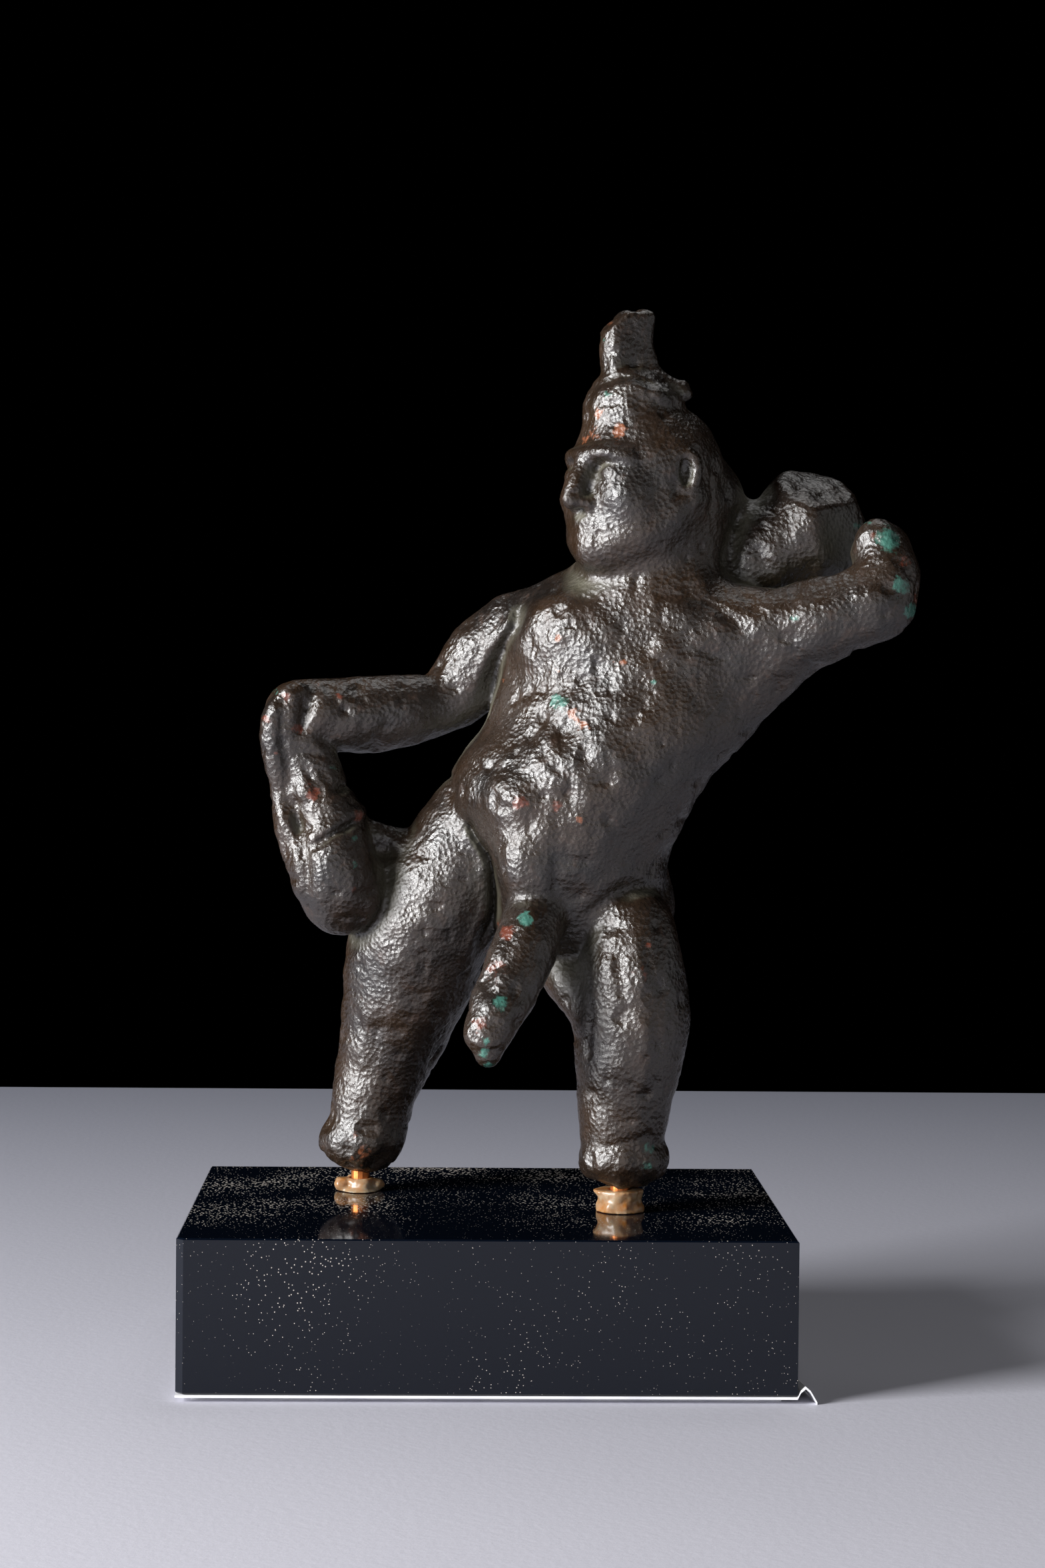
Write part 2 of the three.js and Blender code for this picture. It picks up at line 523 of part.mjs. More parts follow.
// Squared distance to a set of planes, as the ten numbers of a symmetric matrix
class Planes {
  constructor() {
    this.m = new Float64Array(10);
  }

  addPlane([a, b, c], d, weight) {
    [a * a, a * b, a * c, a * d, b * b, b * c, b * d, c * c, c * d, d * d].forEach((v, i) => {
      this.m[i] += v * weight;
    });
  }

  with(other) {
    const sum = new Planes();
    sum.m.forEach((v, i) => { sum.m[i] = this.m[i] + other.m[i]; });
    return sum;
  }

  at([x, y, z]) {
    const m = this.m;
    return m[0] * x * x + 2 * m[1] * x * y + 2 * m[2] * x * z + 2 * m[3] * x + m[4] * y * y
      + 2 * m[5] * y * z + 2 * m[6] * y + m[7] * z * z + 2 * m[8] * z + m[9];
  }

  // The place of least distance, or none where the planes leave it open
  best() {
    const m = this.m;
    const A = new THREE.Matrix3().set(m[0], m[1], m[2], m[1], m[4], m[5], m[2], m[5], m[7]);
    if (Math.abs(A.determinant()) < 1e-5 * (m[0] + m[4] + m[7]) ** 3) return null;
    return new THREE.Vector3(-m[3], -m[6], -m[8]).applyMatrix3(A.invert()).toArray();
  }
}

const minus = (a, b) => [a[0] - b[0], a[1] - b[1], a[2] - b[2]];
const cross = (a, b) => [a[1] * b[2] - a[2] * b[1], a[2] * b[0] - a[0] * b[2], a[0] * b[1] - a[1] * b[0]];
const faceVector = (a, b, c) => cross(minus(b, a), minus(c, a));

// Fewer, larger triangles where the skin is plain: the edge that changes it least goes first
function thinOut({ points, triangles }, wanted) {
  const faces = triangles.map((t) => [...t]);
  const around = points.map(() => new Set());
  const planes = points.map(() => new Planes());
  const version = points.map(() => 0);
  faces.forEach((face, f) => {
    const [a, b, c] = face.map((v) => points[v]);
    const vector = faceVector(a, b, c);
    const size = Math.hypot(...vector) + 1e-12;
    const normal = vector.map((v) => v / size);
    for (const v of face) {
      around[v].add(f);
      planes[v].addPlane(normal, -dot(normal, a), size);
    }
  });
  const neighbours = (v) => new Set([...around[v]].flatMap((f) => faces[f]).filter((w) => w !== v));
  const queue = [];
  const swap = (i, j) => { [queue[i], queue[j]] = [queue[j], queue[i]]; };
  const push = (item) => {
    let i = queue.push(item) - 1;
    while (i > 0 && queue[(i - 1) >> 1].cost > queue[i].cost) {
      swap(i, (i - 1) >> 1);
      i = (i - 1) >> 1;
    }
  };
  const pop = () => {
    swap(0, queue.length - 1);
    const item = queue.pop();
    for (let i = 0; ;) {
      let least = i;
      for (const child of [2 * i + 1, 2 * i + 2]) {
        if (child < queue.length && queue[child].cost < queue[least].cost) least = child;
      }
      if (least === i) return item;
      swap(i, least);
      i = least;
    }
  };
  const offer = (u, v) => {
    const both = planes[u].with(planes[v]);
    const middle = points[u].map((x, i) => (x + points[v][i]) / 2);
    const best = both.best();
    const long = Math.hypot(...minus(points[u], points[v]));
    const place = best && Math.hypot(...minus(best, middle)) < long ? best : middle;
    const cost = both.at(place) + 1e-4 * long * long;
    push({ u, v, place, cost, age: version[u] + version[v] });
  };
  points.forEach((p, u) => {
    for (const v of neighbours(u)) if (u < v) offer(u, v);
  });
  const turnsOver = (v, other, place) => [...around[v]].some((f) => {
    if (faces[f].includes(other)) return false;
    const before = faceVector(...faces[f].map((w) => points[w]));
    const after = faceVector(...faces[f].map((w) => (w === v ? place : points[w])));
    return dot(before, after) < 0.3 * Math.hypot(...before) * Math.hypot(...after) || Math.hypot(...after) < 1e-3;
  });
  let left = faces.length;
  while (left > wanted && queue.length) {
    const { u, v, place, age } = pop();
    if (!around[u].size || !around[v].size || age !== version[u] + version[v]) continue;
    const nearU = neighbours(u);
    if (!nearU.has(v)) continue;
    if ([...neighbours(v)].filter((w) => nearU.has(w)).length !== 2) continue;
    if (turnsOver(u, v, place) || turnsOver(v, u, place)) continue;
    for (const f of [...around[v]]) {
      if (faces[f].includes(u)) {
        for (const w of faces[f]) around[w].delete(f);
        faces[f] = null;
        left -= 1;
      } else {
        faces[f] = faces[f].map((w) => (w === v ? u : w));
        around[u].add(f);
      }
    }
    around[v].clear();
    points[u] = place;
    planes[u] = planes[u].with(planes[v]);
    for (const w of neighbours(u)) version[w] += 1;
    version[u] += 1;
    version[v] += 1;
    for (const w of neighbours(u)) for (const x of neighbours(w)) if (w < x) offer(w, x);
  }
  return { points, triangles: faces.filter(Boolean) };
}

const geometryOf = ({ points, triangles }) => {
  const geometry = new THREE.BufferGeometry();
  geometry.setAttribute('position', new THREE.Float32BufferAttribute(points.flat(), 3));
  geometry.setIndex(triangles.flat());
  return geometry;
};

// Cutting one closed shape out of another
const wasm = await Module();
wasm.setup();

function solidOf(geometry) {
  const plain = geometry.clone();
  plain.deleteAttribute('normal');
  plain.deleteAttribute('uv');
  const merged = mergeVertices(plain, 1e-5);
  return new wasm.Manifold(new wasm.Mesh({
    numProp: 3,
    vertProperties: merged.attributes.position.array,
    triVerts: new Uint32Array(merged.index.array),
  }));
}

function cut(geometry, ...tools) {
  return asGeometry(tools.reduce((left, tool) => left.subtract(solidOf(tool)), solidOf(geometry)));
}

function asGeometry(solid) {
  const { vertProperties, triVerts } = solid.getMesh();
  const result = new THREE.BufferGeometry();
  result.setAttribute('position', new THREE.BufferAttribute(vertProperties, 3));
  result.setIndex(new THREE.BufferAttribute(triVerts, 1));
  return result;
}

// A round bar standing on (x, y) from one height to another
function bar(x, y, from, to, radius, sides = 24) {
  return new THREE.CylinderGeometry(radius, radius, to - from, sides)
    .rotateX(Math.PI / 2)
    .translate(x, y, (from + to) / 2);
}

// The holes that the pins stand in
const pinHoles = (span) => Object.values(legs).map((leg) => bar(leg.x, leg.y, ...span(leg), pinRadius + gap));

function figureGeometry() {
  const form = new Form();
  shapeTrunk(form);
  shapeArms(form);
  shapeLoad(form);
  shapeLegs(form);
  shapeBag(form);
  shapeHead(form);
  shapeCap(form);
  drawLines(form);
  dabForms(form);
  // The broken undersides of the stumps: cut level, and the left one scooped out in front
  for (const { x, y, foot } of Object.values(legs)) {
    const end = foot - figureRise;
    form.carve(slab([x, y, end], [0, 0, -1], [x - 8, y - 8, end - 6], [x + 8, y + 8, end + 2]), 0.5);
  }
  form.carve(mass([-8.7, 1.5, 14.2], [2.5, 3.0, 2.6]), 0.25);
  const whole = thinOut(skin(form, [-23, -17, 12], [40, 14, 93], cell), figureTriangles);
  for (const point of whole.points) point[2] += figureRise;
  return cut(geometryOf(whole), ...pinHoles(({ foot }) => [foot - 3, foot + pinInLeg + gap]));
}

// The block's front left edge is worn to a narrow slope
function plinthGeometry() {
  const outline = new THREE.Shape();
  const [w, d] = [plinthWide / 2 - plinthChamfer, plinthDeep / 2 - plinthChamfer];
  outline.moveTo(plinthCorner - w, -d).lineTo(w, -d).lineTo(w, d).lineTo(-w, d).lineTo(-w, plinthCorner - d).closePath();
  const block = new THREE.ExtrudeGeometry(outline, {
    depth: plinthHigh - 2 * plinthChamfer,
    bevelThickness: plinthChamfer,
    bevelSize: plinthChamfer,
    bevelSegments: 1,
  }).translate(0, 0, plinthTop - plinthHigh + plinthChamfer);
  return cut(block, ...pinHoles(() => [plinthTop - pinInPlinth - gap, plinthTop + 3]));
}

const pinGeometry = ({ x, y, foot }) => bar(x, y, plinthTop - pinInPlinth, foot + pinInLeg, pinRadius);

// Old adhesive: a ring that spreads on the plinth and flares again under the leg
function glueGeometry({ x, y, foot }) {
  const inner = pinRadius + gap;
  const [low, high] = [plinthTop + seam, foot - gap];
  const tall = high - low;
  const profile = [
    [inner, low], [2.2, low], [2.0, low + 0.15 * tall], [1.8, low + 0.5 * tall], [1.9, low + 0.8 * tall],
    [2.3, high - 0.05 * tall], [2.1, high], [inner, high], [inner, low],
  ].map(([r, z]) => new THREE.Vector2(r, z));
  return new THREE.LatheGeometry(profile, 24).rotateX(Math.PI / 2).translate(x, y, 0);
}

// The film under the plinth is one thin sheet, folded under once and set back, whose right edge lifts
// in a lip at the front corner
function filmGeometry() {
  const [front, back] = [-plinthDeep / 2, plinthDeep / 2];
  const right = plinthWide / 2;
  const rows = [];
  for (const part of [0, 0.06, 0.12, 0.2, 0.3, 1]) {
    const lift = Math.max(1 - part / 0.3, 0);
    const y = front + part * (back - front);
    rows.push([
      [-right, 0],
      [right, 0],
      [right + 0.1 + lift * filmLip * 0.1, lift * filmLipHigh * 0.35],
      [right + 0.2 + lift * filmLip * 0.3, lift * filmLipHigh * 0.58],
      [right + 0.3 + lift * filmLip * 0.5, lift * filmLipHigh * 0.35],
      [right + 0.4 + lift * filmLip * 0.8, -lift * backingHigh],
    ].map(([x, z]) => [x, y, backingHigh + z]));
  }
  const across = rows[0].length;
  const lower = rows.flat();
  const points = [...lower, ...lower.map(([x, y, z]) => [x, y, z + filmThick])];
  const id = (row, column, upper) => row * across + column + (upper ? lower.length : 0);
  const triangles = [];
  const quad = (a, b, c, d) => triangles.push([a, b, c], [a, c, d]);
  for (let row = 0; row < rows.length - 1; row++) {
    for (let column = 0; column < across - 1; column++) {
      quad(id(row, column, true), id(row, column + 1, true), id(row + 1, column + 1, true), id(row + 1, column, true));
      quad(id(row, column), id(row + 1, column), id(row + 1, column + 1), id(row, column + 1));
    }
    quad(id(row, 0), id(row, 0, true), id(row + 1, 0, true), id(row + 1, 0));
    const end = across - 1;
    quad(id(row, end), id(row + 1, end), id(row + 1, end, true), id(row, end, true));
  }
  const last = rows.length - 1;
  for (let column = 0; column < across - 1; column++) {
    quad(id(0, column), id(0, column + 1), id(0, column + 1, true), id(0, column, true));
    quad(id(last, column), id(last, column, true), id(last, column + 1, true), id(last, column + 1));
  }
  const under = new THREE.BoxGeometry(
    plinthWide - 2 * backingInset,
    plinthDeep - 2 * backingInset,
    backingHigh + filmThick / 2,
  ).translate(0, 0, (backingHigh + filmThick / 2) / 2);
  return asGeometry(solidOf(geometryOf({ points, triangles })).add(solidOf(under)));
}

const finishes = {
  bronze: new THREE.MeshStandardMaterial({ color: 0x2e2822, roughness: 0.42, metalness: 0.6 }),
  acrylic: new THREE.MeshStandardMaterial({ color: 0x0b0d10, roughness: 0.12, metalness: 0 }),
  copper: new THREE.MeshStandardMaterial({ color: 0xc0703a, roughness: 0.4, metalness: 0.9 }),
  glue: new THREE.MeshStandardMaterial({ color: 0xb98a4e, roughness: 0.35, metalness: 0 }),
  film: new THREE.MeshStandardMaterial({ color: 0xe9e9ee, roughness: 0.5, metalness: 0 }),
};

const dwarf = new THREE.Group();

function piece(name, geometry, finish) {
  const mesh = new THREE.Mesh(geometry, finishes[finish]);
  mesh.name = name;
  dwarf.add(mesh);
}

piece('figure', figureGeometry(), 'bronze');
piece('plinth', plinthGeometry(), 'acrylic');
piece('base_film', filmGeometry(), 'film');
for (const leg of Object.values(legs)) {
  piece(leg.pin, pinGeometry(leg), 'copper');
  piece(leg.glue, glueGeometry(leg), 'glue');
}

export default dwarf;
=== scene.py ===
# A small cast bronze dwarf, pinned and glued to a glossy black block.
# Shapes are worked out in millimetres and made in metres. +X is the viewer's right, -Y is the front,
# and the origin is the middle of the underside.
import bpy
import numpy as np
from mathutils import Matrix


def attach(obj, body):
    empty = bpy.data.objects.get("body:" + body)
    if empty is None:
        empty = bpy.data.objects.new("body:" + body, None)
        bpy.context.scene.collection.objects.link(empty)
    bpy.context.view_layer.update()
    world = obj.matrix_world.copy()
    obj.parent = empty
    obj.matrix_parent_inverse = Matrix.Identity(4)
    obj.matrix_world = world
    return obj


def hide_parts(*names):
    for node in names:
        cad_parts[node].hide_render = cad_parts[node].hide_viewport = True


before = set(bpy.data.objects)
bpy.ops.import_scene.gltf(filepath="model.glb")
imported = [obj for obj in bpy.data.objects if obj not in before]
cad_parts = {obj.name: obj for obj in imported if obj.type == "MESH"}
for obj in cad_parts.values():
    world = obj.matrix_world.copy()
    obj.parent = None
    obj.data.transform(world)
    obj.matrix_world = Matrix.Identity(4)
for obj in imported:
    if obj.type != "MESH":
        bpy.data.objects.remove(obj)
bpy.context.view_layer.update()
mm = 0.001


def makeMesh(name, points, faces, smooth=True):
    # Points in millimetres and rows of corner numbers, all rows of one length, become a mesh object
    mesh = bpy.data.meshes.new(name)
    faces = np.asarray(faces, np.int32)
    corners = faces.shape[1]
    mesh.vertices.add(len(points))
    mesh.vertices.foreach_set("co", (np.asarray(points, float)*mm).astype(np.float32).ravel())
    mesh.loops.add(faces.size)
    mesh.loops.foreach_set("vertex_index", faces.ravel())
    mesh.polygons.add(len(faces))
    mesh.polygons.foreach_set("loop_start", np.arange(0, faces.size, corners, dtype=np.int32))
    mesh.polygons.foreach_set("use_smooth", np.full(len(faces), smooth))
    mesh.update(calc_edges=True)
    mesh.validate()
    piece = bpy.data.objects.new(name, mesh)
    bpy.context.scene.collection.objects.link(piece)
    return piece


def storeValues(piece, name, values):
    # One number for each vertex, which the materials read by name
    attribute = piece.data.attributes.new(name, "FLOAT", "POINT")
    attribute.data.foreach_set("value", np.asarray(values, np.float32))


def linear(hexColour):
    # sRGB hex text to linear colour: each channel to the power 2.4, with a straight toe
    c = np.array([int(hexColour[i:i + 2], 16) for i in (1, 3, 5)])/255
    c = np.where(c <= 0.04045, c/12.92, ((c + 0.055)/1.055)**2.4)
    return (*[float(v) for v in c], 1.0)


def addNode(tree, kind, settings=None, links=None, **values):
    # Adds a shader node: settings are its properties, links and values fill its sockets
    node = tree.nodes.new("ShaderNode" + kind)
    for key, value in (settings or {}).items():
        setattr(node, key, value)
    sockets = dict(links or {})
    sockets.update({key.replace("_", " "): value for key, value in values.items()})
    for key, value in sockets.items():
        if isinstance(value, bpy.types.NodeSocket):
            tree.links.new(value, node.inputs[key])
        else:
            node.inputs[key].default_value = value
    return node


def newMaterial(name):
    material = bpy.data.materials.new(name)
    material.use_nodes = True
    tree = material.node_tree
    tree.nodes.clear()
    return material, tree


def noise(points, size, seed):
    # Random heights on a cubic lattice of the given size, blended smoothly between its nodes, -1 to 1
    table = np.random.default_rng(seed).random((48, 48, 48), dtype=np.float32)*2 - 1
    place = np.asarray(points)/size + 1000
    corner = np.floor(place).astype(int)
    t = place - corner
    t = t*t*(3 - 2*t)
    total = np.zeros(len(place))
    for i, j, k in np.ndindex(2, 2, 2):
        share = np.prod(np.where([i, j, k], t, 1 - t), axis=1)
        total += share*table[tuple(((corner + [i, j, k]) % 48).T)]
    return total


# The figure is a distance field on a grid: each form gives the distance to its surface, below zero
# inside, and the forms are joined, cut and marked one after another, as a modeller works in wax.

def makeGrid(low, high, cell):
    axes = [np.arange(lo, hi + cell, cell, dtype=np.float32) for lo, hi in zip(low, high)]
    return {"axes": axes, "cell": cell, "value": np.full([len(a) for a in axes], 9.0, np.float32)}


def window(grid, low, high):
    # The part of the grid inside a box, and its coordinates ready to combine
    cut = [slice(*np.searchsorted(a, (lo, hi))) for a, lo, hi in zip(grid["axes"], low, high)]
    x, y, z = [a[s] for a, s in zip(grid["axes"], cut)]
    return tuple(cut), (x[:, None, None], y[None, :, None], z[None, None, :])


def smoothMin(a, b, soft):
    # The lesser of two distances, with the crease between them filled over the soft width
    near = np.maximum(soft - np.abs(a - b), 0)/soft
    return np.minimum(a, b) - near*near*soft/4


def smoothPath(points, parts):
    # A Catmull-Rom curve through rows of numbers
    p = np.asarray(points, float)
    if len(p) < 3:
        return p
    p = np.vstack([2*p[0] - p[1], p, 2*p[-1] - p[-2]])
    t = (np.arange(parts)/parts)[None, :, None]
    a, b, c, d = [p[i:len(p) - 3 + i][:, None, :] for i in range(4)]
    rows = 0.5*(2*b + (c - a)*t + (2*a - 5*b + 4*c - d)*t**2 + (3*b - a - 3*c + d)*t**3)
    return np.vstack([rows.reshape(-1, p.shape[1]), p[-2:-1]])


def tilted(turn=0, lean=0, nod=0):
    # A form's own across, forward and up directions, as rows
    t, l, n = np.radians([turn, lean, nod])
    across = np.array([np.cos(t), -np.sin(t), 0])
    forward = np.array([-np.sin(t), -np.cos(t), 0])
    up = np.array([0, 0, 1.0])
    forward, up = forward*np.cos(n) - up*np.sin(n), up*np.cos(n) + forward*np.sin(n)
    across, up = across*np.cos(l) - up*np.sin(l), up*np.cos(l) + across*np.sin(l)
    return np.array([across, forward, up])


def limb(path):
    # A rod that tapers from station to station: distance to the line less the radius there
    rows = smoothPath(path, 4)

    def field(grid, pad):
        low = (rows[:, :3] - rows[:, 3:]).min(0) - pad
        high = (rows[:, :3] + rows[:, 3:]).max(0) + pad
        cut, _ = window(grid, low, high)
        value = np.full(grid["value"][cut].shape, pad + 2, np.float32)
        for a, b in zip(rows[:-1], rows[1:]):
            part, (x, y, z) = window(grid, np.minimum(a[:3] - a[3], b[:3] - b[3]) - pad,
                                     np.maximum(a[:3] + a[3], b[:3] + b[3]) + pad)
            inner = tuple(slice(p.start - c.start, p.stop - c.start) for p, c in zip(part, cut))
            run = (b - a).astype(np.float32)
            dx, dy, dz = x - np.float32(a[0]), y - np.float32(a[1]), z - np.float32(a[2])
            t = np.clip((dx*run[0] + dy*run[1] + dz*run[2])/max(float(run[:3] @ run[:3]), 1e-6), 0, 1)
            away = np.sqrt((dx - t*run[0])**2 + (dy - t*run[1])**2 + (dz - t*run[2])**2)
            np.minimum(value[inner], away - np.float32(a[3]) - t*run[3], out=value[inner])
        return cut, value
    return field


def egg(centre, radii, axes=tilted()):
    # An ellipsoid: its size at the point times how far that is past one, over its slope
    centre, radii = np.asarray(centre, float), np.asarray(radii, float)

    def field(grid, pad):
        reach = np.sqrt(((axes*radii[:, None])**2).sum(0)) + pad
        cut, (x, y, z) = window(grid, centre - reach, centre + reach)
        size, slope = 0, 1e-9
        for axis, radius in zip(axes, radii):
            along = sum((place - np.float32(c))*np.float32(a) for place, c, a in zip((x, y, z), centre, axis))
            size = size + (along/np.float32(radius))**2
            slope = slope + (along/np.float32(radius**2))**2
        size = np.sqrt(size)
        return cut, (size*(size - 1)/np.sqrt(slope)).astype(np.float32)
    return field


def ovalStack(sections, turn):
    # Level ovals from hips to shoulders: height, middle x and y, half width, depth before and behind
    rows = smoothPath(sections, 6)
    axes = tilted(turn).astype(np.float32)

    def field(grid, pad):
        wide = rows[:, 3:].max() + pad
        low = [rows[:, 1].min() - wide, rows[:, 2].min() - wide, rows[0, 0] - pad]
        high = [rows[:, 1].max() + wide, rows[:, 2].max() + wide, rows[-1, 0] + pad]
        cut, (x, y, z) = window(grid, low, high)
        levels = [np.interp(z, rows[:, 0], rows[:, i]).astype(np.float32) for i in range(1, 6)]
        cx, cy, half, before, behind = levels
        u = (x - cx)*axes[0, 0] + (y - cy)*axes[0, 1]
        v = (x - cx)*axes[1, 0] + (y - cy)*axes[1, 1]
        deep = np.where(v > 0, before, behind)
        size = np.sqrt((u/half)**2 + (v/deep)**2)
        slope = np.sqrt((u/half**2)**2 + (v/deep**2)**2) + 1e-6
        ends = np.maximum(rows[0, 0] - z, z - rows[-1, 0]).astype(np.float32)
        return cut, -smoothMin(-size*(size - 1)/slope, -ends, 3.0).astype(np.float32)
    return field


def halfSpace(point, normal, low, high):
    # Everything on the side of a plane that its normal points to, inside a box
    normal = np.asarray(normal, float)/np.linalg.norm(normal)

    def field(grid, pad):
        cut, places = window(grid, low, high)
        return cut, -sum((place - p)*n for place, p, n in zip(places, point, normal)).astype(np.float32)
    return field


def cutOff(form, point, normal, soft=0.5):
    # A form trimmed by a plane: what lies on the side that the normal points to is taken away
    normal = np.asarray(normal, float)/np.linalg.norm(normal)

    def field(grid, pad):
        cut, distance = form(grid, pad)
        x, y, z = [a[s] - p for a, s, p in zip(grid["axes"], cut, point)]
        past = x[:, None, None]*normal[0] + y[None, :, None]*normal[1] + z[None, None, :]*normal[2]
        return cut, -smoothMin(-distance, -past, soft).astype(np.float32)
    return field


def add(grid, form, soft=1.0):
    cut, distance = form(grid, soft + 1.0)
    grid["value"][cut] = smoothMin(grid["value"][cut], distance, soft)


def carve(grid, form, soft=0.5):
    cut, distance = form(grid, soft + 1.0)
    grid["value"][cut] = -smoothMin(-grid["value"][cut], distance, soft)


def draw(grid, points, width, depth, front=-16, back=-2):
    # A groove, or a ridge where depth is below zero, along a line drawn in the x-z plane:
    # depth times a bell of the distance from the line, which fades at the line's two ends
    rows = smoothPath(points, 5)
    pad = 2.4*width
    low = [rows[:, 0].min() - pad, front, rows[:, 1].min() - pad]
    high = [rows[:, 0].max() + pad, back, rows[:, 1].max() + pad]
    cut, (x, y, z) = window(grid, low, high)
    x, z = x[:, 0, :], z[:, 0, :]
    near = np.full((x.shape[0], z.shape[1]), 99.0)
    for a, b in zip(rows[:-1], rows[1:]):
        run = b - a
        t = np.clip(((x - a[0])*run[0] + (z - a[1])*run[1])/max(float(run @ run), 1e-9), 0, 1)
        near = np.minimum(near, np.hypot(x - a[0] - t*run[0], z - a[1] - t*run[1]))
    fromEnd = np.minimum(*[np.hypot(x - end[0], z - end[1]) for end in (rows[0], rows[-1])])
    near = np.hypot(near, 1.5*width*np.maximum(1 - fromEnd/2, 0))
    grid["value"][cut] += (depth*np.exp(-(near/width)**2)).astype(np.float32)[:, None, :]


def dab(grid, x, z, radius, height, front=-16, back=-2):
    # A round swelling, or a hollow where height is below zero, seen from the front: a bell round (x, z)
    low = [x - 2.4*radius, front, z - 2.4*radius]
    high = [x + 2.4*radius, back, z + 2.4*radius]
    cut, (gx, gy, gz) = window(grid, low, high)
    grid["value"][cut] -= (height*np.exp(-((gx - x)**2 + (gz - z)**2)/radius**2)).astype(np.float32)


def skin(grid):
    # The surface as quads: one vertex in each cell that it crosses, at the mean of the crossings on
    # the cell's edges, and one quad round each crossed edge
    value, cell = grid["value"], grid["cell"]
    inside = value < 0
    n = np.array(value.shape) - 1
    corners = list(np.ndindex(2, 2, 2))
    count = sum(inside[i:n[0] + i, j:n[1] + j, k:n[2] + k].astype(np.int8) for i, j, k in corners)
    cells = np.argwhere((count > 0) & (count < 8))
    index = np.full(n, -1, np.int32)
    index[tuple(cells.T)] = np.arange(len(cells))
    at = np.stack([value[tuple((cells + c).T)] for c in corners], 1)
    total, hits = np.zeros((len(cells), 3)), np.zeros(len(cells))
    for a, b in np.ndindex(8, 8):
        if b > a and np.abs(np.subtract(corners[a], corners[b])).sum() == 1:
            crossed = (at[:, a] < 0) != (at[:, b] < 0)
            t = np.where(crossed, at[:, a]/np.where(crossed, at[:, a] - at[:, b], 1), 0)[:, None]
            total += np.where(crossed[:, None], np.array(corners[a]) + t*np.subtract(corners[b], corners[a]), 0)
            hits += crossed
    points = np.array([a[0] for a in grid["axes"]]) + (cells + total/hits[:, None])*cell
    quads = []
    for axis in range(3):
        step = np.eye(3, dtype=int)
        p, q = step[(axis + 1) % 3], step[(axis + 2) % 3]
        low = [slice(0 if i == axis else 1, n[i]) for i in range(3)]
        high = [slice(s.start + o, s.stop + o) for s, o in zip(low, step[axis])]
        start = inside[tuple(low)]
        crossed = start != inside[tuple(high)]
        here = np.argwhere(crossed) + [s.start for s in low]
        ring = np.stack([index[tuple((here - o).T)] for o in (p + q, q, 0*p, p)], 1)
        ring[~start[crossed]] = ring[~start[crossed]][:, ::-1]
        quads.append(ring)
    return points, np.vstack(quads)


def normalsOf(points, quads):
    # The mean of the cross products of the quads' diagonals round each vertex
    a, b, c, d = points[quads.T]
    face = np.cross(c - a, d - b)
    normal = np.stack([sum(np.bincount(quads[:, i], face[:, k], len(points)) for i in range(4))
                       for k in range(3)], 1)
    return normal/np.maximum(np.linalg.norm(normal, axis=1), 1e-9)[:, None]


def sample(grid, points):
    # The field at any place, straight between the grid's values
    place = (points - [a[0] for a in grid["axes"]])/grid["cell"]
    place = np.clip(place, 0, np.array(grid["value"].shape) - 1.001)
    corner = place.astype(int)
    t = place - corner
    total = np.zeros(len(points))
    for i, j, k in np.ndindex(2, 2, 2):
        share = np.prod(np.where([i, j, k], t, 1 - t), axis=1)
        total += share*grid["value"][tuple((corner + [i, j, k]).T)]
    return total


figure = {
    "bodyTurn": 22,
    "headTurn": 54,
    "headNod": 3,
    "headAt": (13.2, -2.0, 75.6),
    "cell": 0.31,
    "rise": 0.6,
    "footLeft": 14.2,
    "footRight": 14.9,
}


def shapeTrunk(grid):
    turn = figure["bodyTurn"]
    add(grid, ovalStack([
        (31.2, 6.8, 0.4, 2.2, 2.6, 3.6),
        (33.5, 7.0, 0.6, 4.0, 4.0, 5.5),
        (36.5, 7.8, 0.6, 7.2, 6.6, 7.6),
        (40.0, 7.9, 0.5, 7.5, 8.4, 8.2),
        (42.5, 7.8, 0.4, 7.8, 9.4, 8.0),
        (45.0, 7.5, 0.4, 9.3, 9.9, 7.6),
        (48.0, 7.5, 0.4, 10.9, 10.1, 7.4),
        (51.0, 8.8, 0.4, 11.7, 10.0, 7.5),
        (54.0, 10.9, 0.4, 11.7, 9.6, 7.8),
        (57.5, 12.0, 0.4, 11.8, 8.8, 8.0),
        (61.0, 12.4, 0.4, 11.2, 7.9, 7.8),
        (64.5, 12.8, 0.4, 9.6, 6.8, 7.2),
        (67.5, 13.4, 0.4, 7.0, 5.6, 6.2),
    ], turn), 1)
    # Buttocks, chest and belly
    add(grid, egg((11.8, 3.0, 38.4), (4.6, 4.8, 5.0), tilted(turn)), 1.5)
    add(grid, egg((4.3, 6.1, 38.4), (4.6, 4.8, 5.0), tilted(turn)), 1.5)
    add(grid, egg((18.3, -4.5, 62.0), (3.4, 3.0, 2.3), tilted(-16, 16)), 0.8)
    add(grid, egg((6.8, -2.9, 61.8), (4.9, 3.4, 3.9), tilted(30)), 2)
    add(grid, egg((2.5, -6.4, 47.7), (2.6, 2.5, 2.4)), 1.5)
    add(grid, egg((3.4, -6.4, 42.4), (2.6, 2.8, 4.0), tilted(0, -10)), 1.5)
    # Neck, and the slope down to the lowered shoulder
    add(grid, limb([(13.4, -0.2, 64, 6.4), (14.2, -0.6, 69, 6.1), (15.0, -0.9, 73, 5.6)]), 2)
    add(grid, limb([(11.0, 1.0, 64.0, 4.0), (6.0, 2.6, 63.0, 3.7), (2.4, 3.8, 62.6, 3.2)]), 2.5)


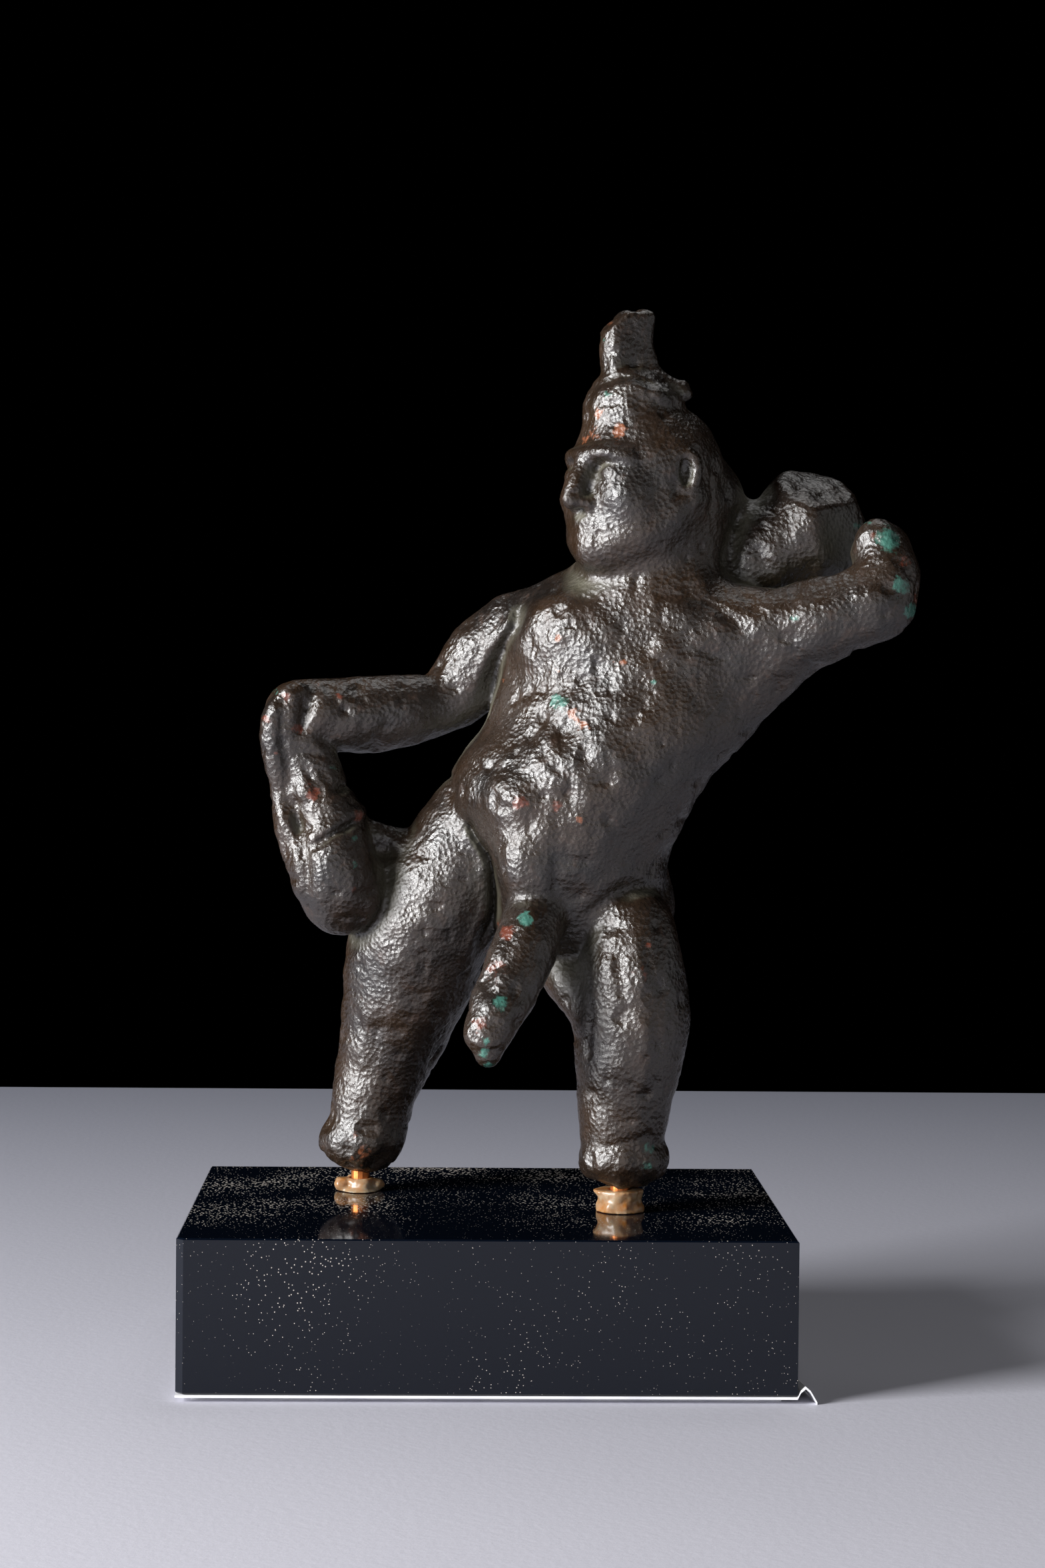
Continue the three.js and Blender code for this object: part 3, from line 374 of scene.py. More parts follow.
def shapeArms(grid):
    # The left arm hangs and reaches out level; the right one is bent up, with a web down to the ribs
    add(grid, limb([
        (2.2, 4.0, 62.4, 3.2), (-0.4, 4.6, 60.3, 3.3), (-2.3, 5.0, 57.4, 3.1), (-4.7, 4.5, 55.8, 2.7),
        (-8.3, 3.4, 55.2, 3.2), (-12.5, 2.4, 54.8, 3.3), (-15.4, 1.6, 55.0, 2.9),
    ]), 0.6)
    add(grid, limb([
        (17.0, -2.6, 61.6, 4.4), (21.5, -4.0, 61.9, 4.1), (25.1, -5.0, 62.3, 3.9), (28.6, -6.0, 63.4, 3.6),
        (31.4, -6.6, 64.5, 3.2),
    ]), 3)
    add(grid, limb([(32.5, -6.6, 64.9, 3.4), (33.4, -6.2, 67.2, 2.8), (33.2, -5.2, 69.0, 2.65)]), 0.8)
    add(grid, cutOff(limb([(33.1, -6.2, 65.6, 2.5), (32.7, -5.9, 70.1, 1.85)]), (32, -8.4, 68), (-0.15, -1, 0.1)), 0.4)
    add(grid, limb([(19.5, -3.0, 54.5, 2.5), (23.7, -4.0, 59.5, 3.0)]), 2)


def shapeLoad(grid):
    # The load on the raised shoulder: a bulging mass, broken off aslant on top and flat on its right
    add(grid, limb([(16.0, 1.6, 66.0, 4.6), (21.0, 1.4, 68.2, 4.4), (24.4, 0.8, 69.4, 4.5)]), 0.8)
    mass = egg((27.6, 1.9, 71.1), (4.9, 6.0, 5.8))
    mass = cutOff(mass, (27.6, -4.0, 72.9), (0.22, -0.51, 1.0), 0.5)
    add(grid, cutOff(mass, (27.7, -4.1, 70.0), (0.67, -0.74, 0.0), 0.4), 0.9)


def shapeLegs(grid):
    # Both legs end in rounded stumps below the knee
    add(grid, limb([
        (-0.6, 3.0, 45.4, 4.8), (-2.2, 3.4, 42.0, 5.6), (-4.0, 3.9, 38.8, 6.1), (-5.9, 4.6, 35.4, 6.2),
        (-6.9, 5.3, 31.6, 5.7), (-8.0, 5.9, 27.8, 4.9), (-9.0, 6.0, 24.0, 4.1), (-10.0, 5.8, 20.8, 3.6),
        (-10.3, 5.6, 17.8, 3.3),
    ]), 0.6)
    add(grid, egg((-11.0, 5.7, 17.2), (3.7, 3.6, 2.7)), 0.6)
    add(grid, limb([
        (12.2, -4.0, 36.8, 3.8), (12.2, -4.7, 34.2, 4.4), (12.3, -4.9, 31.5, 4.7), (12.3, -4.9, 28.8, 4.85),
        (12.0, -4.8, 25.4, 4.5), (11.8, -4.6, 22.2, 4.05), (11.6, -4.5, 19.4, 3.6),
    ]), 0.6)
    add(grid, egg((11.8, -4.5, 17.2), (3.9, 3.7, 2.5)), 0.6)
    add(grid, limb([(6.6, -1.5, 33.6, 2.6), (8.3, -3.0, 31.4, 2.6), (9.9, -4.0, 29.0, 2.5)]), 0.8)
    add(grid, limb([
        (4.2, -5.6, 38.8, 2.5), (3.0, -8.4, 35.6, 2.85), (1.6, -10.4, 32.3, 2.7), (0.6, -11.8, 30.4, 2.4),
        (-0.1, -12.6, 28.7, 2.05),
    ]), 0.8)
    add(grid, limb([(0.1, -12.5, 28.8, 1.5), (-0.1, -13.0, 27.2, 1.15)]), 0.3)


def shapeBag(grid):
    # The hand and curled fingers, and the bag that hangs from them against the thigh
    add(grid, limb([(-15.4, 1.4, 55.0, 2.8), (-17.0, 1.0, 55.2, 2.5)]), 0.8)
    add(grid, limb([
        (-17.4, -0.8, 56.2, 1.2), (-18.5, -0.9, 54.4, 1.25), (-18.5, -0.6, 51.6, 1.2), (-17.9, -0.2, 49.2, 1.0),
    ]), 0.4)
    add(grid, limb([(-16.5, -0.6, 56.8, 0.9), (-17.0, -0.9, 54.6, 1.0), (-17.1, -0.6, 52.2, 0.9)]), 0.4)
    add(grid, limb([
        (-16.2, 1.0, 53.0, 2.5), (-15.4, 0.8, 50.0, 2.6), (-14.6, 0.6, 47.8, 2.7), (-13.8, 0.4, 45.9, 3.0),
    ]), 0.5)
    add(grid, limb([(-13.7, 0.4, 43.7, 3.5), (-13.2, 0.4, 41.4, 4.0), (-12.5, 0.8, 39.4, 3.7)]), 0.4)
    add(grid, limb([
        (-17.6, 0.4, 48.8, 1.3), (-17.2, 0.2, 45.6, 1.5), (-16.2, 0.0, 42.4, 1.5), (-15.2, 0.0, 39.6, 1.2),
    ]), 0.3)
    # Web of metal between the bag and the hip
    add(grid, limb([(-11.4, 1.8, 44.8, 1.3), (-9.3, 2.3, 43.9, 1.5), (-7.4, 2.8, 43.0, 1.9)]), 0.6)
    add(grid, limb([(-9.2, 2.6, 42.6, 1.7), (-8.9, 2.4, 41.0, 1.9), (-9.4, 2.0, 38.4, 1.9)]), 0.6)


# The head has directions of its own: across to the right, forward, and up from its middle
headAxes = tilted(figure["headTurn"], 0, figure["headNod"])


def onHead(rows):
    rows = np.asarray(rows, float)
    return np.hstack([rows[:, :3] @ headAxes + figure["headAt"], rows[:, 3:]])


def headLimb(rows):
    return limb(onHead(rows))


def headEgg(centre, radii):
    return egg(onHead([centre])[0], radii, headAxes)


def shapeHead(grid):
    add(grid, headEgg((0, -0.4, -0.2), (6.2, 6.7, 6.3)), 0.6)
    add(grid, headEgg((0, 2.2, -2.4), (4.9, 4.8, 5.6)), 1)
    add(grid, headEgg((0, -5.5, -3.0), (4.7, 4.3, 4.8)), 1.5)
    add(grid, headLimb([(0, 0.8, 2.2, 5.6), (0, 1.6, 5.3, 4.0)]), 1.5)
    for s in (1, -1):
        # Jaw, brow, eye, cheek, side of the nose
        add(grid, headLimb([
            (s*4.6, -0.2, -2.4, 1.8), (s*3.6, 1.8, -4.2, 2.3), (s*2.0, 3.8, -5.1, 2.5), (0, 4.6, -5.4, 2.5),
        ]), 1.5)
        add(grid, headLimb([(s*3.7, 4.9, 1.5, 0.6), (s*2.2, 6.2, 1.8, 0.7), (0, 6.5, 1.6, 0.7)]), 0.8)
        carve(grid, headEgg((s*2.2, 7.2, 0.4), (1.5, 1.5, 0.9)), 0.8)
        add(grid, headEgg((s*2.2, 5.5, 0.3), (1.3, 1.1, 0.75)), 0.15)
        add(grid, headEgg((s*2.9, 4.6, -1.9), (1.9, 1.9, 1.8)), 1.5)
        add(grid, headEgg((s*0.95, 7.0, -2.3), (0.65, 0.9, 0.6)), 0.5)
        # Ear: a raised rim round a hollow
        add(grid, headLimb([
            (s*5.7, 1.2, 1.5, 0.35), (s*6.2, 0.3, 1.4, 0.45), (s*6.5, -0.2, 0.6, 0.5), (s*6.4, -0.1, -0.6, 0.5),
            (s*6.0, 0.6, -1.6, 0.45), (s*5.6, 1.1, -1.9, 0.3),
        ]), 0.3)
        carve(grid, headEgg((s*6.3, 0.8, 0.0), (0.9, 0.55, 1.25)), 0.3)
    # Nose, lips, chin
    add(grid, headLimb([(0, 6.5, 1.4, 0.7), (0, 7.6, -0.5, 0.85), (0, 8.2, -1.9, 0.95)]), 0.6)
    add(grid, headLimb([
        (1.6, 6.0, -4.1, 0.35), (0.7, 6.9, -3.8, 0.5), (0, 7.0, -3.9, 0.45), (-0.7, 6.9, -3.8, 0.5),
        (-1.6, 6.0, -4.1, 0.35),
    ]), 0.25)
    add(grid, headLimb([(1.3, 6.1, -4.7, 0.35), (0, 6.9, -4.85, 0.55), (-1.3, 6.1, -4.7, 0.35)]), 0.25)
    add(grid, headEgg((0, 6.0, -6.3), (1.6, 1.3, 1.3)), 1)


def shapeCap(grid):
    # The cap's crown, the stub of its broken peak, flat on the right, and the knob behind
    add(grid, egg((12.6, -3.0, 81.9), (4.1, 4.1, 1.5), tilted(0, 14, -12)), 0.4)
    stub = limb([
        (12.3, -3.1, 82.4, 2.9), (11.7, -3.2, 84.4, 2.5), (11.35, -3.2, 86.6, 2.25), (11.45, -3.2, 90.0, 2.3),
    ])
    stub = cutOff(stub, (10.6, -5.0, 87.0), (0.38, -0.93, 0.0), 0.35)
    stub = cutOff(stub, (11.5, -3.2, 89.4), (-0.05, -0.12, 1.0), 0.2)
    add(grid, cutOff(stub, (9.7, -3.2, 88.2), (-0.8, -0.25, 1.0), 0.25), 0.25)
    add(grid, limb([(13.6, -3.0, 83.6, 1.2), (15.8, -2.9, 82.8, 0.85)]), 0.3)
    add(grid, egg((16.3, -3.0, 82.5), (0.75, 0.8, 0.6)), 0.15)
    add(grid, egg((16.2, -2.8, 83.2), (0.55, 0.6, 0.5)), 0.15)


def drawFolds(grid):
    # Fold between the belly and the left thigh, with the thin lip beside it
    fold = [(-2.1, 46.9), (-1.1, 44.6), (-0.1, 43.1), (0.4, 41.6), (0.5, 39.2), (0.3, 37.5), (-0.5, 35.8), (-1.2, 33.8)]
    draw(grid, fold, 0.5, 0.5, back=4)
    draw(grid, [(x - 0.75, z) for x, z in fold], 0.35, -0.3, back=4)
    # Armpit of the lowered arm
    armpit = [(2.6, 65.3), (2.4, 63.0), (1.2, 60.8), (0.2, 58.6), (-0.4, 56.3)]
    draw(grid, armpit, 0.6, 0.5, back=3)
    draw(grid, [(x - 1.1, z) for x, z in armpit], 0.5, -0.25, back=3)
    # Muscle over the right side of the chest, top of the right thigh and the ridge down its front
    draw(grid, [(13.5, 65.1), (15.2, 65.2), (17.4, 65.0), (18.9, 64.1), (20.4, 63.1), (21.3, 62.2)], 0.45, 0.3)
    draw(grid, [(16.3, 61.7), (17.2, 60.9), (18.9, 60.2), (20.4, 60.7)], 0.5, 0.2)
    draw(grid, [(8.0, 37.4), (8.7, 38.5), (10.1, 39.8), (11.9, 40.5), (14.0, 40.3), (15.1, 39.4)], 0.6, 0.4, back=0)
    draw(grid, [(12.2, 37.0), (12.9, 33.0), (13.2, 28.5), (13.1, 23.0)], 0.45, -0.2, back=0)
    draw(grid, [(10.7, 35.2), (11.3, 31.8), (11.9, 27.9)], 0.5, 0.2, back=0)
    # Rim of the cap, the gap between the neck and the load
    draw(grid, [(8.1, 82.5), (9.2, 83.1), (10.9, 83.5), (13.2, 83.1), (14.9, 82.1), (16.6, 80.8)], 0.3, 0.35, back=0)
    draw(grid, [(21.5, 73.4), (20.9, 71.0), (20.5, 68.5), (20.4, 66.8)], 0.7, 0.55, back=6)
    # Fingers and palm
    draw(grid, [(-14.9, 57.8), (-15.3, 56.2), (-16.2, 54.0), (-16.6, 52.2)], 0.4, 0.4, back=2)
    draw(grid, [(-17.9, 57.0), (-17.9, 54.8), (-17.9, 52.4), (-17.6, 50.4)], 0.3, 0.2, back=2)
    draw(grid, [(-17.0, 52.0), (-15.0, 51.5), (-13.5, 51.0)], 0.35, 0.3, back=2)
    # Folds in the neck of the bag, the mouth of its pouch, the strip down its side
    draw(grid, [(-16.6, 51.4), (-15.3, 49.4), (-14.2, 47.2)], 0.4, 0.3, back=0)
    draw(grid, [(-15.2, 51.2), (-14.0, 49.2), (-13.0, 47.2)], 0.35, 0.25, back=0)
    mouth = [(-15.8, 42.9), (-14.9, 43.6), (-13.4, 44.6), (-12.1, 45.3), (-10.7, 46.1)]
    draw(grid, mouth, 0.33, 0.55, back=0)
    draw(grid, [(x + 0.2, z - 0.7) for x, z in mouth], 0.4, -0.2, back=0)
    draw(grid, [(x - 0.1, z + 0.6) for x, z in mouth], 0.35, -0.12, back=0)
    strip = [(-17.6, 47.2), (-16.2, 45.1), (-15.7, 42.8), (-15.5, 40.4), (-15.7, 38.6)]
    draw(grid, strip, 0.45, 0.35, back=0)
    draw(grid, [(x - 0.95, z) for x, z in strip], 0.55, -0.2, back=0)
    draw(grid, [(-10.7, 46.1), (-10.1, 44.1), (-9.7, 41.5), (-9.3, 40.0)], 0.4, 0.3, back=2)
    # Edge of the collar round the right stump
    draw(grid, [(8.4, 18.3), (10.4, 18.7), (12.9, 19.4), (15.2, 19.2)], 0.3, 0.2, back=0)


def dabForms(grid):
    # Belly: bumps down the middle line and the ring of the navel
    for x, z, radius, height in [
        (6.0, 56.0, 1.0, 0.4), (5.5, 58.8, 0.8, 0.25), (5.6, 61.6, 0.6, 0.15), (4.2, 50.9, 0.6, 0.25),
        (3.5, 52.2, 0.5, 0.2), (2.4, 47.9, 0.9, 0.25), (6.2, 53.2, 1.9, 0.3), (6.2, 53.3, 1.0, -0.65),
        (6.4, 53.1, 0.4, 0.35), (7.4, 46.4, 0.6, 0.2), (18.9, 61.9, 0.45, 0.15), (9.8, 58.9, 0.8, -0.15),
        (8.9, 50.5, 1.4, -0.15), (11.0, 44.0, 1.5, -0.15), (4.6, 45.4, 0.7, 0.15), (3.0, 55.4, 0.8, 0.12),
    ]:
        dab(grid, x, z, radius, height)
    # Wrist and bag: pits and swellings
    for x, z, radius, height in [
        (-12.8, 56.2, 0.6, 0.25), (-12.6, 55.3, 0.45, -0.4), (-11.4, 57.0, 0.45, -0.4), (-13.9, 57.0, 0.45, -0.35),
        (-16.0, 55.4, 0.5, -0.3), (-17.6, 53.4, 0.4, 0.2), (-18.6, 55.6, 0.5, 0.2), (-12.8, 48.4, 0.55, -0.7),
        (-10.8, 46.4, 0.5, 0.3), (-8.9, 43.2, 0.7, -0.6), (-8.2, 41.9, 0.5, 0.2), (-14.5, 45.4, 0.5, 0.2),
        (-11.3, 37.4, 0.9, -0.35), (-13.4, 42.4, 1.2, 0.2), (-16.2, 48.2, 0.6, 0.2),
    ]:
        dab(grid, x, z, radius, height, back=3)


def breakEnds(grid):
    # The broken undersides of the stumps: cut level, and the left one scooped out in front
    for x, y, foot in [(-11.0, 5.4, figure["footLeft"]), (11.4, -4.7, figure["footRight"])]:
        carve(grid, halfSpace((x, y, foot), (0, 0, -1), (x - 8, y - 8, foot - 6), (x + 8, y + 8, foot + 2)), 0.5)
    carve(grid, egg((-8.7, 1.5, 14.2), (2.5, 3.0, 2.6)), 0.25)


def bronzeRelief(points, normals, recess):
    # Casting lumps, leathery grain and corrosion pits, in millimetres along the normal: noise of
    # several sizes, with pits where a coarser noise passes a limit
    stretch = points*[1, 1, 0.7]
    lumps = 0.12*noise(points, 3.2, 1) + 0.13*noise(points, 1.6, 2)
    grain = 0.05*noise(stretch, 0.9, 3) + 0.035*noise(points, 0.5, 4)
    pits = np.clip(noise(points, 1.1, 5) - 0.4, 0, 0.4)*0.6
    broken = np.clip((18.0 - points[:, 2])/2, 0, 1) + np.clip((points[:, 2] - 88.2)/1.2, 0, 1)
    torn = np.exp(-((points - [28.2, -0.5, 75.0])/[4.2, 5.0, 1.8])**2).prod(1)
    coarse = 0.22*noise(points, 0.8, 6)*np.clip(broken + torn, 0, 1)
    return (lumps + grain - pits)*(1 - 0.4*recess) + coarse


print("figure: shaping")
grid = makeGrid((-24, -18, 12), (41, 14, 95), figure["cell"])
shapeTrunk(grid)
shapeArms(grid)
shapeLoad(grid)
shapeLegs(grid)
shapeBag(grid)
shapeHead(grid)
shapeCap(grid)
drawFolds(grid)
dabForms(grid)
breakEnds(grid)
points, quads = skin(grid)
normals = normalsOf(points, quads)
# How deep each place lies in a hollow: how much nearer other surface is than open space would be
recess = np.clip(1 - sample(grid, points + normals*1.5)/1.5, 0, 1)
recess = np.clip(0.6*recess + 0.6*np.clip(1 - sample(grid, points + normals*3.5)/3.5, 0, 1), 0, 1)
points = points + normals*bronzeRelief(points, normals, recess)[:, None]
print("figure: ", len(quads)*2, "triangles")
# Its heights are worked out with the block's top at 12.7, which stands higher by the rise
bronzeFigure = makeMesh("bronze_figure", points + [0, 0, figure["rise"]], quads)
storeValues(bronzeFigure, "recess", recess)


# Stains: x, z, radius and strength, on the side that faces the front or the back
stains = {
    "verdigris": [
        (5.7, 56.1, 0.9, 0.9), (13.5, 57.9, 0.45, 0.6), (3.0, 38.0, 0.7, 1.0), (33.3, 70.1, 1.2, 1.0),
        (34.2, 66.2, 0.9, 1.0), (35.2, 64.1, 0.8, 1.0), (25.3, 63.3, 0.4, 0.8), (9.6, 82.0, 0.5, 0.7),
        (-13.4, 50.3, 0.4, 0.9), (-11.6, 44.3, 0.35, 0.8), (-11.5, 42.0, 0.5, 0.7), (0.9, 31.4, 0.8, 0.9),
        (-0.3, 28.3, 0.5, 1.0), (-0.4, 27.3, 0.6, 0.9), (0.0, 26.1, 0.5, 0.9), (13.6, 18.4, 0.8, 0.8),
        (13.5, 17.1, 0.6, 0.8), (9.4, 87.2, 0.5, 0.5), (31.6, 71.6, 0.6, 0.7), (-18.6, 56.9, 0.5, 0.6),
    ],
    "cuprite": [
        (2.6, 47.8, 1.1, 0.8), (5.6, 47.4, 0.8, 0.7), (10.6, 46.0, 0.4, 0.6), (1.4, 36.9, 0.8, 0.9),
        (13.4, 35.8, 0.35, 0.8), (-17.6, 56.4, 0.7, 0.8), (-19.3, 54.5, 0.6, 0.8), (-16.5, 53.7, 0.6, 0.8),
        (-13.1, 56.4, 0.5, 0.7), (-14.9, 57.5, 0.4, 0.7), (-18.1, 51.5, 0.6, 0.6), (-15.1, 48.2, 0.9, 0.8),
        (-11.2, 46.2, 0.6, 0.9), (-11.6, 39.9, 0.4, 0.7), (12.7, 33.4, 1.0, 0.6), (0.4, 34.0, 1.2, 0.6),
        (-0.8, 29.6, 0.9, 0.7), (34.8, 68.2, 0.8, 0.7), (35.6, 65.2, 0.7, 0.6), (32.0, 70.4, 0.6, 0.6),
    ],
    "copper": [
        (8.9, 80.5, 0.55, 1.0), (10.6, 78.9, 0.8, 0.9), (7.8, 78.5, 0.6, 0.6), (8.6, 78.9, 0.7, 0.6),
        (5.6, 61.6, 0.45, 0.8), (6.9, 55.2, 0.7, 0.8), (7.6, 54.3, 0.6, 0.8), (11.1, 59.6, 0.45, 0.8),
        (10.3, 59.4, 0.45, 0.6), (7.4, 46.3, 0.5, 0.7), (1.1, 58.0, 0.3, 0.7), (5.6, 58.8, 0.7, 0.4),
        (-10.9, 16.4, 1.2, 0.6), (-11.3, 18.1, 0.5, 0.6), (9.8, 88.6, 0.9, 0.5), (8.9, 85.0, 0.5, 0.4),
    ],
}


def stainAmount(spots, points, normals):
    # The strongest of the spots at each place: strength times a bell of the distance in x and z
    amount = np.zeros(len(points))
    facing = np.clip(0.5 - 2*normals[:, 1], 0, 1)
    for x, z, radius, strength in spots:
        bell = np.exp(-((points[:, 0] - x)**2 + (points[:, 2] - z)**2)/radius**2)
        amount = np.maximum(amount, strength*bell*facing)
    return amount


for name, spots in stains.items():
    storeValues(bronzeFigure, name, stainAmount(spots, points, normals))
# Pale dust that settled on the shoulders behind the neck and in the crotch
dust = np.clip(recess*1.6 - 0.35, 0, 1)*np.clip(normals[:, 2] + 0.35, 0, 1)
storeValues(bronzeFigure, "dust", dust)


def objectPlace(tree):
    return addNode(tree, "TexCoord").outputs["Object"]


def mixColour(tree, amount, first, second):
    mix = addNode(tree, "Mix", {"data_type": "RGBA"}, {0: amount, 6: first, 7: second})
    return mix.outputs[2]


def bronzePatina():
    # Cast bronze under a brown-black oxide skin and old wax: the skin is no bare metal, so it is dark
    # with a strong clear gloss, and shows white broken highlights where light rakes it, olive dirt in
    # the hollows and spots of green, red and bare copper
    material, tree = newMaterial("waxed_bronze_patina")
    place = objectPlace(tree)
    cloud = addNode(tree, "TexNoise", links={"Vector": place, "Scale": 130.0, "Detail": 5.0, "Roughness": 0.6})
    fleck = addNode(tree, "TexNoise", links={"Vector": place, "Scale": 900.0, "Detail": 4.0, "Roughness": 0.65})
    tone = addNode(tree, "MapRange", links={0: cloud.outputs[0], 1: 0.38, 2: 0.66, 3: 0.0, 4: 1.0})
    colour = mixColour(tree, tone.outputs[0], linear("#2d2015"), linear("#1b1613"))
    speck = addNode(tree, "MapRange", links={0: fleck.outputs[0], 1: 0.56, 2: 0.70, 3: 0.0, 4: 0.55})
    colour = mixColour(tree, speck.outputs[0], colour, linear("#3a271b"))
    recessValue = addNode(tree, "Attribute", {"attribute_name": "recess"}).outputs["Fac"]
    hollow = addNode(tree, "MapRange", links={0: recessValue, 1: 0.12, 2: 0.75, 3: 0.0, 4: 0.6})
    colour = mixColour(tree, hollow.outputs[0], colour, linear("#201d14"))
    dustValue = addNode(tree, "Attribute", {"attribute_name": "dust"}).outputs["Fac"]
    dustAmount = addNode(tree, "Math", {"operation": "MULTIPLY"}, {0: dustValue, 1: 0.5})
    colour = mixColour(tree, dustAmount.outputs[0], colour, linear("#75725f"))
    stainNoise = addNode(tree, "TexNoise", links={"Vector": place, "Scale": 1500.0, "Detail": 3.0, "Roughness": 0.6})
    for name, hexColour in [("cuprite", "#6a3424"), ("copper", "#8a5236"), ("verdigris", "#43776a")]:
        value = addNode(tree, "Attribute", {"attribute_name": name}).outputs["Fac"]
        rough = addNode(tree, "Math", {"operation": "MULTIPLY_ADD"}, {0: stainNoise.outputs[0], 1: 1.6, 2: -0.85})
        edge = addNode(tree, "Math", {"operation": "ADD"}, {0: value, 1: rough.outputs[0]})
        amount = addNode(tree, "MapRange", links={0: edge.outputs[0], 1: 0.42, 2: 0.72, 3: 0.0, 4: 0.8})
        colour = mixColour(tree, amount.outputs[0], colour, linear(hexColour))
    # Fine reticulated grain, 0.4 mm across, and a finer one of 0.2 mm that gives the sparkle
    cells = addNode(tree, "TexVoronoi", {"feature": "SMOOTH_F1"}, {"Vector": place, "Scale": 2500.0, "Smoothness": 0.3})
    grain = addNode(tree, "TexNoise", links={"Vector": place, "Scale": 4200.0, "Detail": 4.0, "Roughness": 0.65})
    height = addNode(tree, "Math", {"operation": "MULTIPLY_ADD"}, {0: grain.outputs[0], 1: 0.8, 2: cells.outputs[0]})
    bump = addNode(tree, "Bump", links={"Strength": 0.62, "Distance": 0.00013, "Height": height.outputs[0]})
    gloss = addNode(tree, "MapRange", links={0: fleck.outputs[0], 1: 0.35, 2: 0.7, 3: 0.2, 4: 0.38})
    roughness = addNode(tree, "Math", {"operation": "MULTIPLY_ADD"}, {0: dustValue, 1: 0.4, 2: gloss.outputs[0]})
    surface = addNode(tree, "BsdfPrincipled", links={
        "Base Color": colour, "Metallic": 0.0, "Roughness": roughness.outputs[0], "IOR": 1.76,
        "Normal": bump.outputs[0],
    })
    addNode(tree, "OutputMaterial", links={"Surface": surface.outputs[0]})
    return material


def blackAcrylic():
    # Cast acrylic, flame-polished: a mirror gloss on blue-black, with pale dust specks that lie thick
    # in drifts round the feet, thin towards the front edge and sparse on the upright faces
    material, tree = newMaterial("polished_black_acrylic")
    place = objectPlace(tree)
    specks = addNode(tree, "TexVoronoi", {"feature": "F1"}, {"Vector": place, "Scale": 3200.0})
    drift = addNode(tree, "TexNoise", links={"Vector": place, "Scale": 90.0, "Detail": 4.0, "Roughness": 0.65})
    dense = addNode(tree, "MapRange", links={0: drift.outputs[0], 1: 0.42, 2: 0.70, 3: 0.12, 4: 0.40})
    normal = addNode(tree, "SeparateXYZ", links={0: addNode(tree, "NewGeometry").outputs["Normal"]})
    up = addNode(tree, "MapRange", links={0: normal.outputs[2], 1: 0.5, 2: 0.9, 3: 0.5, 4: 1.0})
    depth = addNode(tree, "SeparateXYZ", links={0: place})
    back = addNode(tree, "MapRange", links={0: depth.outputs[1], 1: -0.016, 2: -0.008, 3: 0.35, 4: 1.0})
    onFace = addNode(tree, "Math", {"operation": "MULTIPLY"}, {0: dense.outputs[0], 1: back.outputs[0]})
    onSide = addNode(tree, "Math", {"operation": "MULTIPLY"}, {0: dense.outputs[0], 1: up.outputs[0]})
    reach = addNode(tree, "Mix", {"data_type": "FLOAT"}, {0: up.outputs[0], 2: onSide.outputs[0], 3: onFace.outputs[0]})
    dot = addNode(tree, "Math", {"operation": "LESS_THAN"}, {0: specks.outputs[0], 1: reach.outputs[0]})
    smear = addNode(tree, "Mapping", links={"Vector": place, "Rotation": (0, 0.6, 0), "Scale": (1, 1, 5)})
    rub = addNode(tree, "TexNoise", links={"Vector": smear.outputs[0], "Scale": 60.0, "Detail": 5.0, "Roughness": 0.7})
    rubbed = addNode(tree, "MapRange", links={0: rub.outputs[0], 1: 0.5, 2: 0.75, 3: 0.0, 4: 1.0})
    colour = mixColour(tree, dot.outputs[0], linear("#060b15"), linear("#b4aca4"))
    roughness = addNode(tree, "Math", {"operation": "MULTIPLY_ADD"}, {0: rubbed.outputs[0], 1: 0.12, 2: 0.06})
    roughDot = addNode(tree, "Math", {"operation": "MULTIPLY_ADD"}, {0: dot.outputs[0], 1: 0.6, 2: roughness.outputs[0]})
    surface = addNode(tree, "BsdfPrincipled", links={
        "Base Color": colour, "Roughness": roughDot.outputs[0], "IOR": 1.45,
    })
    addNode(tree, "OutputMaterial", links={"Surface": surface.outputs[0]})
    return material


def copperRod():
    # Drawn copper rod, bright but fingered: warm metal with a brown tarnish in clouds
    material, tree = newMaterial("drawn_copper")
    place = objectPlace(tree)
    cloud = addNode(tree, "TexNoise", links={"Vector": place, "Scale": 900.0, "Detail": 4.0, "Roughness": 0.6})
    tone = addNode(tree, "MapRange", links={0: cloud.outputs[0], 1: 0.4, 2: 0.65, 3: 0.0, 4: 1.0})
    colour = mixColour(tree, tone.outputs[0], linear("#e08a4c"), linear("#b25a2c"))
    surface = addNode(tree, "BsdfPrincipled", links={"Base Color": colour, "Metallic": 0.8, "Roughness": 0.38})
    addNode(tree, "OutputMaterial", links={"Surface": surface.outputs[0]})
    return material


def oldGlue():
    # Hardened adhesive, amber below and cloudy pale in patches, with dirt in it and a soft gloss
    material, tree = newMaterial("amber_adhesive")
    place = objectPlace(tree)
    cloud = addNode(tree, "TexNoise", links={"Vector": place, "Scale": 700.0, "Detail": 4.0, "Roughness": 0.6})
    tone = addNode(tree, "MapRange", links={0: cloud.outputs[0], 1: 0.35, 2: 0.65, 3: 0.0, 4: 1.0})
    colour = mixColour(tree, tone.outputs[0], linear("#94602c"), linear("#a3927a"))
    bump = addNode(tree, "Bump", links={"Strength": 0.4, "Distance": 0.0001, "Height": cloud.outputs[0]})
    surface = addNode(tree, "BsdfPrincipled", links={
        "Base Color": colour, "Roughness": 0.32, "IOR": 1.5, "Subsurface Weight": 0.35,
        "Subsurface Radius": (0.0012, 0.0007, 0.0003), "Subsurface Scale": 1.0, "Normal": bump.outputs[0],
    })
    addNode(tree, "OutputMaterial", links={"Surface": surface.outputs[0]})
    return material


